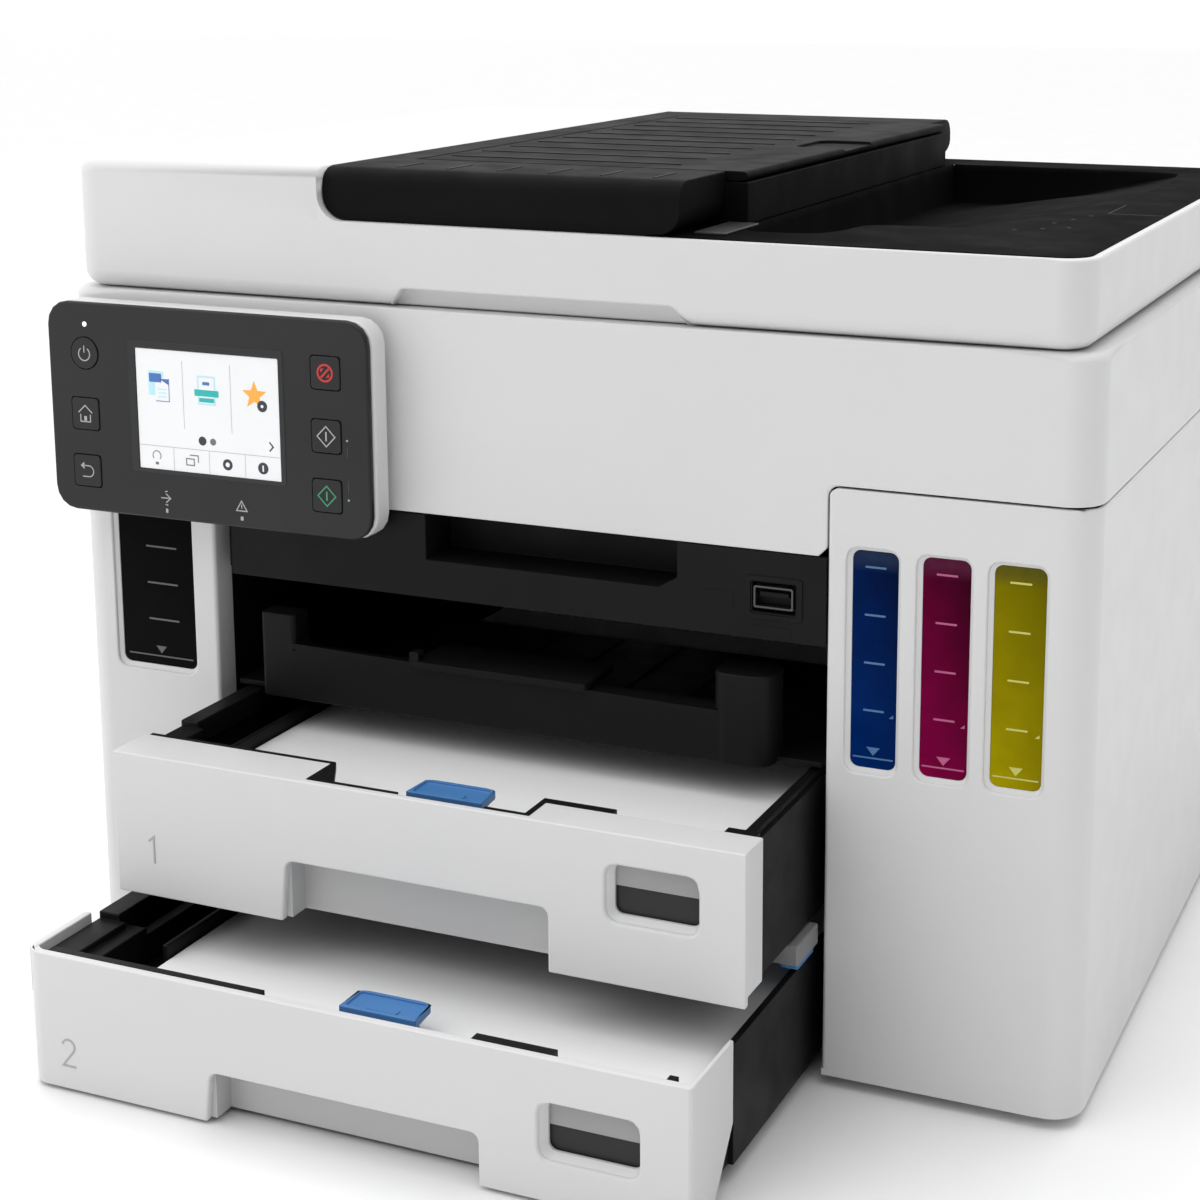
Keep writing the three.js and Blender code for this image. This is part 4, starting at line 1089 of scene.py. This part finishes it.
def add_display():
    """The lit picture: three tiles with drawings, page dots, an arrow and a row of small symbols."""
    (x0, x1), (z0, z1) = SCREEN
    rim = ring(rectangle((x0 - 3.0, x1 + 2.0), (z0 - 1.2, z1 + 2.7), 1.2),
               rectangle(inner(SCREEN[0], 0.15, 0.15), inner(SCREEN[1], 0.15, 0.15), 0.5),
               "y", (PANEL_FRONT - 0.22, PANEL_FRONT + 0.2))
    piece("display_frame", "control_panel", "screen", [rim], width=0.2)
    back = (SCREEN_FRONT - 0.10, SCREEN_FRONT + 0.1)
    lit = plate(inner(SCREEN[0], 0.3, 0.3), inner(SCREEN[1], 0.3, 0.3), back, 0.3)
    draw("display_picture", "display", [lit])
    top, over, last = LAYERS
    lines = [block((x0 + 0.4, x1 - 0.4), top, (BAR, BAR + 0.22))]
    lines += [block((x0 + x, x0 + x + 0.2), top, (BAR + 7.5, z1 - 4)) for x in (20.6, 41.3)]
    lines += [block((x0 + x, x0 + x + 0.18), top, (z0 + 0.4, BAR)) for x in (15.4, 31, 46.6)]
    draw("display_lines", "display_line", lines)
    tiles = [(x0 + x, z1 - 14.2) for x in (10.2, 31.0, 51.6)]
    draw_copy(tiles[0])
    draw_scan(tiles[1])
    marks = draw_star(tiles[2])
    row = (x0, z0 + 4.6)
    marks += drawing((x0, BAR), top, (0, circle(28.4, 3.6, 1.7, 24)),
                     (0.55, [(57.3, 5.6), (58.9, 3.9), (57.3, 2.2)]))
    marks += drawing(row, top, (0, circle(39.0, 0, 2.1, 24)), (0, circle(54.3, 0, 2.2, 24)))
    draw("display_marks", "display_dark", marks)
    holes = drawing(tiles[2], last, (0, circle(3.2, -4.0, 0.6, 16)))
    holes += drawing(row, over, (0, circle(39.0, 0, 0.9, 16)), (0, rectangle((54.0, 54.6), (-1.2, 1.1))))
    draw("display_holes", "display", holes)
    soft = drawing((x0, BAR), top, (0, circle(33.0, 3.6, 1.3, 24)))
    soft += drawing(
        row, top, (0.35, arc((7.9, 0.8), 1.8, -40, 220, 12)), (0, rectangle((7.2, 8.6), (-2.6, -1.6))),
        (0.4, [(21.0, -1.6), (24.4, -1.6), (24.4, 0.8), (21.0, 0.8), (21.0, -1.6)]),
        (0.4, [(22.6, 2.2), (26.2, 2.2), (26.2, -0.4)]),
    )
    draw("display_soft_marks", "display_grey", soft)


# ---- document lid and feeder
def bed_height(x):
    """The top of the bed's floor: level at first, then a ramp that rises to the right."""
    rise = max(0.0, x - BED_STEP) * (RIM_Z - BED_FLOOR) / (BED_RIGHT - BED_STEP)
    return BED_FLOOR + 0.5 + rise


def add_lid():
    half, back = LID_HALF, LID_BACK
    plan = outline([(-half, 0, CORNER), (half, 0, CORNER), (half, back, CORNER), (-half, back, CORNER)], 10)
    side = FEEDER_LEFT - 0.4
    raised = outline([(-half, 0, CORNER), (side, 0), (side, back), (-half, back, CORNER)], 10)
    reach = FEEDER_CORNER + 0.4
    fillet = prism(outline([(side - 2, RIM_Z - 1), (side + reach, RIM_Z - 1), (side + reach, RIM_Z),
                            (side, RIM_Z, reach), (side, RIM_Z + reach), (side - 2, RIM_Z + reach)], 10),
                   "y", (0.02, back - 1))
    above = RIM_Z + 2
    cuts = [
        block((BED_LEFT, BED_STEP), (27, BED_BACK), (BED_FLOOR, above)),
        prism([(BED_STEP - 1, above), (BED_STEP - 1, BED_FLOOR), (BED_STEP, BED_FLOOR),
               (BED_RIGHT, RIM_Z + 0.2), (BED_RIGHT, above)], "y", (62, BED_BACK)),
        prism(outline([(-60, LID_BOTTOM - 3), (60, LID_BOTTOM - 3), (58, LID_BOTTOM), (52, 273, 3),
                       (-52.8, 273, 3), (-57.9, LID_BOTTOM)]), "y", (-1, 6)),
        block((-158.5, 172.5), (19.5, 270.5), (LID_BOTTOM - 1, LID_BOTTOM + 3.4)),
    ]

    def lid_edges(x, y, z):
        outside = y < 12.1 or y > back - 12.1 or abs(x) > half - 12.1
        if near(z, LID_BOTTOM) and outside and not (abs(x) < 60 and y < 6.5):
            return 6.5
        if near(z, TOP_Z) and x < side - 0.5:
            return 6.0
        if near(z, RIM_Z) and outside and x > FEEDER_LEFT + FEEDER_CORNER + 1:
            return 1.3
        if y < 6.5 and abs(x) < 60 and z < 274:
            return 1.0
        return 0.0 if near(y, 0.02, 0.1) else 0.35

    shapes = [prism(plan, "z", (LID_BOTTOM, RIM_Z)), prism(raised, "z", (RIM_Z - 9, TOP_Z)), fillet]
    piece("lid_shell_form", "document_lid", "body_white", shapes, cuts, 0.35, 6, lid_edges, ("lid_shell",),
          share=9.0)
    soften("lid_pad", 0.8, 3)
    add_bed()
    add_bed_details()


def inset(points, amount, centre):
    """A closed outline moved towards a point inside it."""
    moved = []
    for index, here in enumerate(points):
        along = (points[(index + 1) % len(points)] - points[index - 1]).normalized()
        side = Vector((-along.y, along.x))
        moved.append(here + side * (amount if side.dot(centre - here) > 0 else -amount))
    return moved


def add_bed():
    """The black lining of the document output: a rim plate, walls and the ramped floor."""
    rim = outline([(41, 2.8), (192.3, 2.8, 9.5), (192.3, 325, 9), (41, 325)], 10)
    mouth = curve([(62.5, 60), (63.0, 40), (68.5, 29.6), (80, 28.2), (92, 31), (97.8, 42), (100.5, 58),
                   (107, 63.4), (120, 64.6), (134, 67.5), (145, 92), (155.4, 125.6), (163.5, 162),
                   (168.6, 200), (170.2, 240), (168.5, 282), (160, 297.0), (110, 298.6), (68, 298.6),
                   (62.5, 290), (62.5, 170)], 4, True)
    shape = bmesh.new()

    def loop(points, height):
        return [shape.verts.new(metres(p.x, p.y, height(p.x))) for p in points]

    def wall_loop(amount, share, drop=0.0):
        """A loop of the lining, moved in from the mouth and down a share of the way to the floor."""
        def height(x):
            floor = min(bed_height(x), BED_PLATE - 0.05)
            return BED_PLATE + (floor - BED_PLATE) * share - drop
        return loop(inset(mouth, amount, Vector((112, 180))), height)

    def close(*loops):
        """Fills a loop, or the space between two, with triangles."""
        edges = []
        for points in loops:
            for pair in zip(points, points[1:] + points[:1]):
                edges.append(shape.edges.get(pair) or shape.edges.new(pair))
        bmesh.ops.triangle_fill(shape, edges=edges, use_beauty=True)

    walls = [loop(mouth, lambda x: BED_PLATE)]
    walls += [wall_loop(*place) for place in ((0.6, 0.04), (1.2, 0.15), (2.2, 0.9), (3.2, 1.0))]
    under = [wall_loop(*place, 0.45) for place in ((3.2, 1.0), (1.4, 0.9), (0.3, 0.15), (-0.3, 0.04))]
    upper, lower = (loop(rim, lambda x, z=z: z) for z in (BED_PLATE, RIM_Z - 0.1))
    for one, two in [*zip(walls, walls[1:]), *zip(under, under[1:]), (upper, lower)]:
        for a, b, c, d in zip(one, one[1:] + one[:1], two[1:] + two[:1], two):
            shape.faces.new((a, b, c, d))
    close(upper, walls[0])
    close(lower, under[-1])
    close(walls[-1])
    close(under[0])
    bmesh.ops.recalc_face_normals(shape, faces=shape.faces)
    item = new_object("document_bed", shape)
    for polygon in item.data.polygons:
        polygon.use_smooth = True
    item.data.set_sharp_from_angle(angle=math.radians(40))
    dress(item, "document_lid", "body_black", "bed_black")


def add_bed_details():
    holes = [(152.3, 67), (160.4, 74.2), (168.1, 80.8), (160.0, 92.5), (163.6, 106), (167.1, 119.2)]
    dots = [prism(circle(x, y, 0.9, 14), "z", (BED_PLATE - 0.1, BED_PLATE + 0.04)) for x, y in holes]
    decal("bed_dots", "document_lid", "body_black", "deep_black", dots)
    shelf = block((55.0, 66.5), (12.6, 44.4), (BED_PLATE - 0.1, RIM_Z + 1.3))
    piece("feeder_shelf", "document_lid", "grey_plastic", [shelf], width=0.4, look="dark_grey")
    span = (BED_PLATE - 0.05, BED_PLATE + 0.03)
    grooves = [block((171, 192), (128.6, 129.4), span), block((171, 171.5), (128.6, 160), span)]
    decal("bed_groove", "document_lid", "body_black", "deep_black", grooves)
    low = RIM_Z - 6.0
    slope = curve([(120, 133), (126, 152), (134, 186), (140, 230), (142, 276)], 5)
    rib = line(slope, 1.2, (low, low + 0.1), axis="z")
    for vertex in rib.verts:
        x, _, _ = millimetres(vertex.co)
        vertex.co.z += (bed_height(x) - low) * MM
    decal("bed_rib", "document_lid", "body_black", "bed_black", [rib])


def add_feeder():
    ridges = [block((x, x + 1.2), (12, 30), (TOP_Z - 0.4, TOP_Z + 0.25)) for x in range(-60, 60, 20)]
    soften("adf_cover", 0.5, 3, look="feeder_black")
    finger = prism(rectangle((40, 64), (150, 185), 6), "z", (TOP_Z - 1.2, TOP_Z + 1))
    soften("document_tray", 0.4, 3, cuts=[finger], look="feeder_black")
    stripes = [block((-64, 30), (y, y + 1.4), (TOP_Z - 0.2, TOP_Z + 0.35)) for y in range(60, 300, 24)]
    piece("document_tray_ribs", "document_tray", "body_black", [merged(stripes)], width=0.25)
    piece("adf_cover_ridges", "adf_cover", "body_black", [merged(ridges)], width=0.15)


# ---- stage
def add_floor():
    floor = new_object("floor", block((-9000, 9000), (-9000, 9000), (-20, -0.2)))
    floor.data.materials.append(materials["floor"])


def add_light(name, place, target, size, power):
    data = bpy.data.lights.new(name, "AREA")
    data.size = size
    data.energy = power
    light = bpy.data.objects.new(name, data)
    light.location = metres(*place)
    light.rotation_euler = (metres(*target) - light.location).to_track_quat("-Z", "Y").to_euler()
    bpy.context.scene.collection.objects.link(light)


def add_lights():
    add_light("key", (-700, -900, 1500), (0, 100, 150), 1.2, 3)
    add_light("top", (100, 200, 1900), (0, 150, 0), 1.6, 8)
    add_light("fill", (1100, -900, 1300), (190, 0, 200), 0.9, 2)
    add_light("left", (-560, -460, 430), (-190, 0, 230), 0.5, 0.5)


def add_world():
    """White light all round, whose strength is a sum of slopes along the axes."""
    world = bpy.data.worlds.new("studio")
    nodes = Nodes(world, "Background", "OutputWorld", "Generated")
    parts = nodes.add("SeparateXYZ", Vector=nodes.place)
    total = None
    for axis, start, end, low, high in WORLD_SLOPES:
        share = nodes.remap(parts.outputs[axis], low, high, start, end)
        total = nodes.math("ADD", total, share) if total else share
    nodes.put((1.0, 1.0, 1.0), nodes.shader.inputs["Color"])
    nodes.put(total, nodes.shader.inputs["Strength"])
    bpy.context.scene.world = world
    bpy.context.scene.view_settings.view_transform = "Standard"


add_camera()
add_casing()
add_tanks()
add_usb_panel()
add_mechanism()
add_upper_cassette()
add_lower_cassette()
add_paper_and_guides()
add_output_tray()
add_scanner()
add_panel()
add_lid()
add_feeder()
add_floor()
add_lights()
add_world()
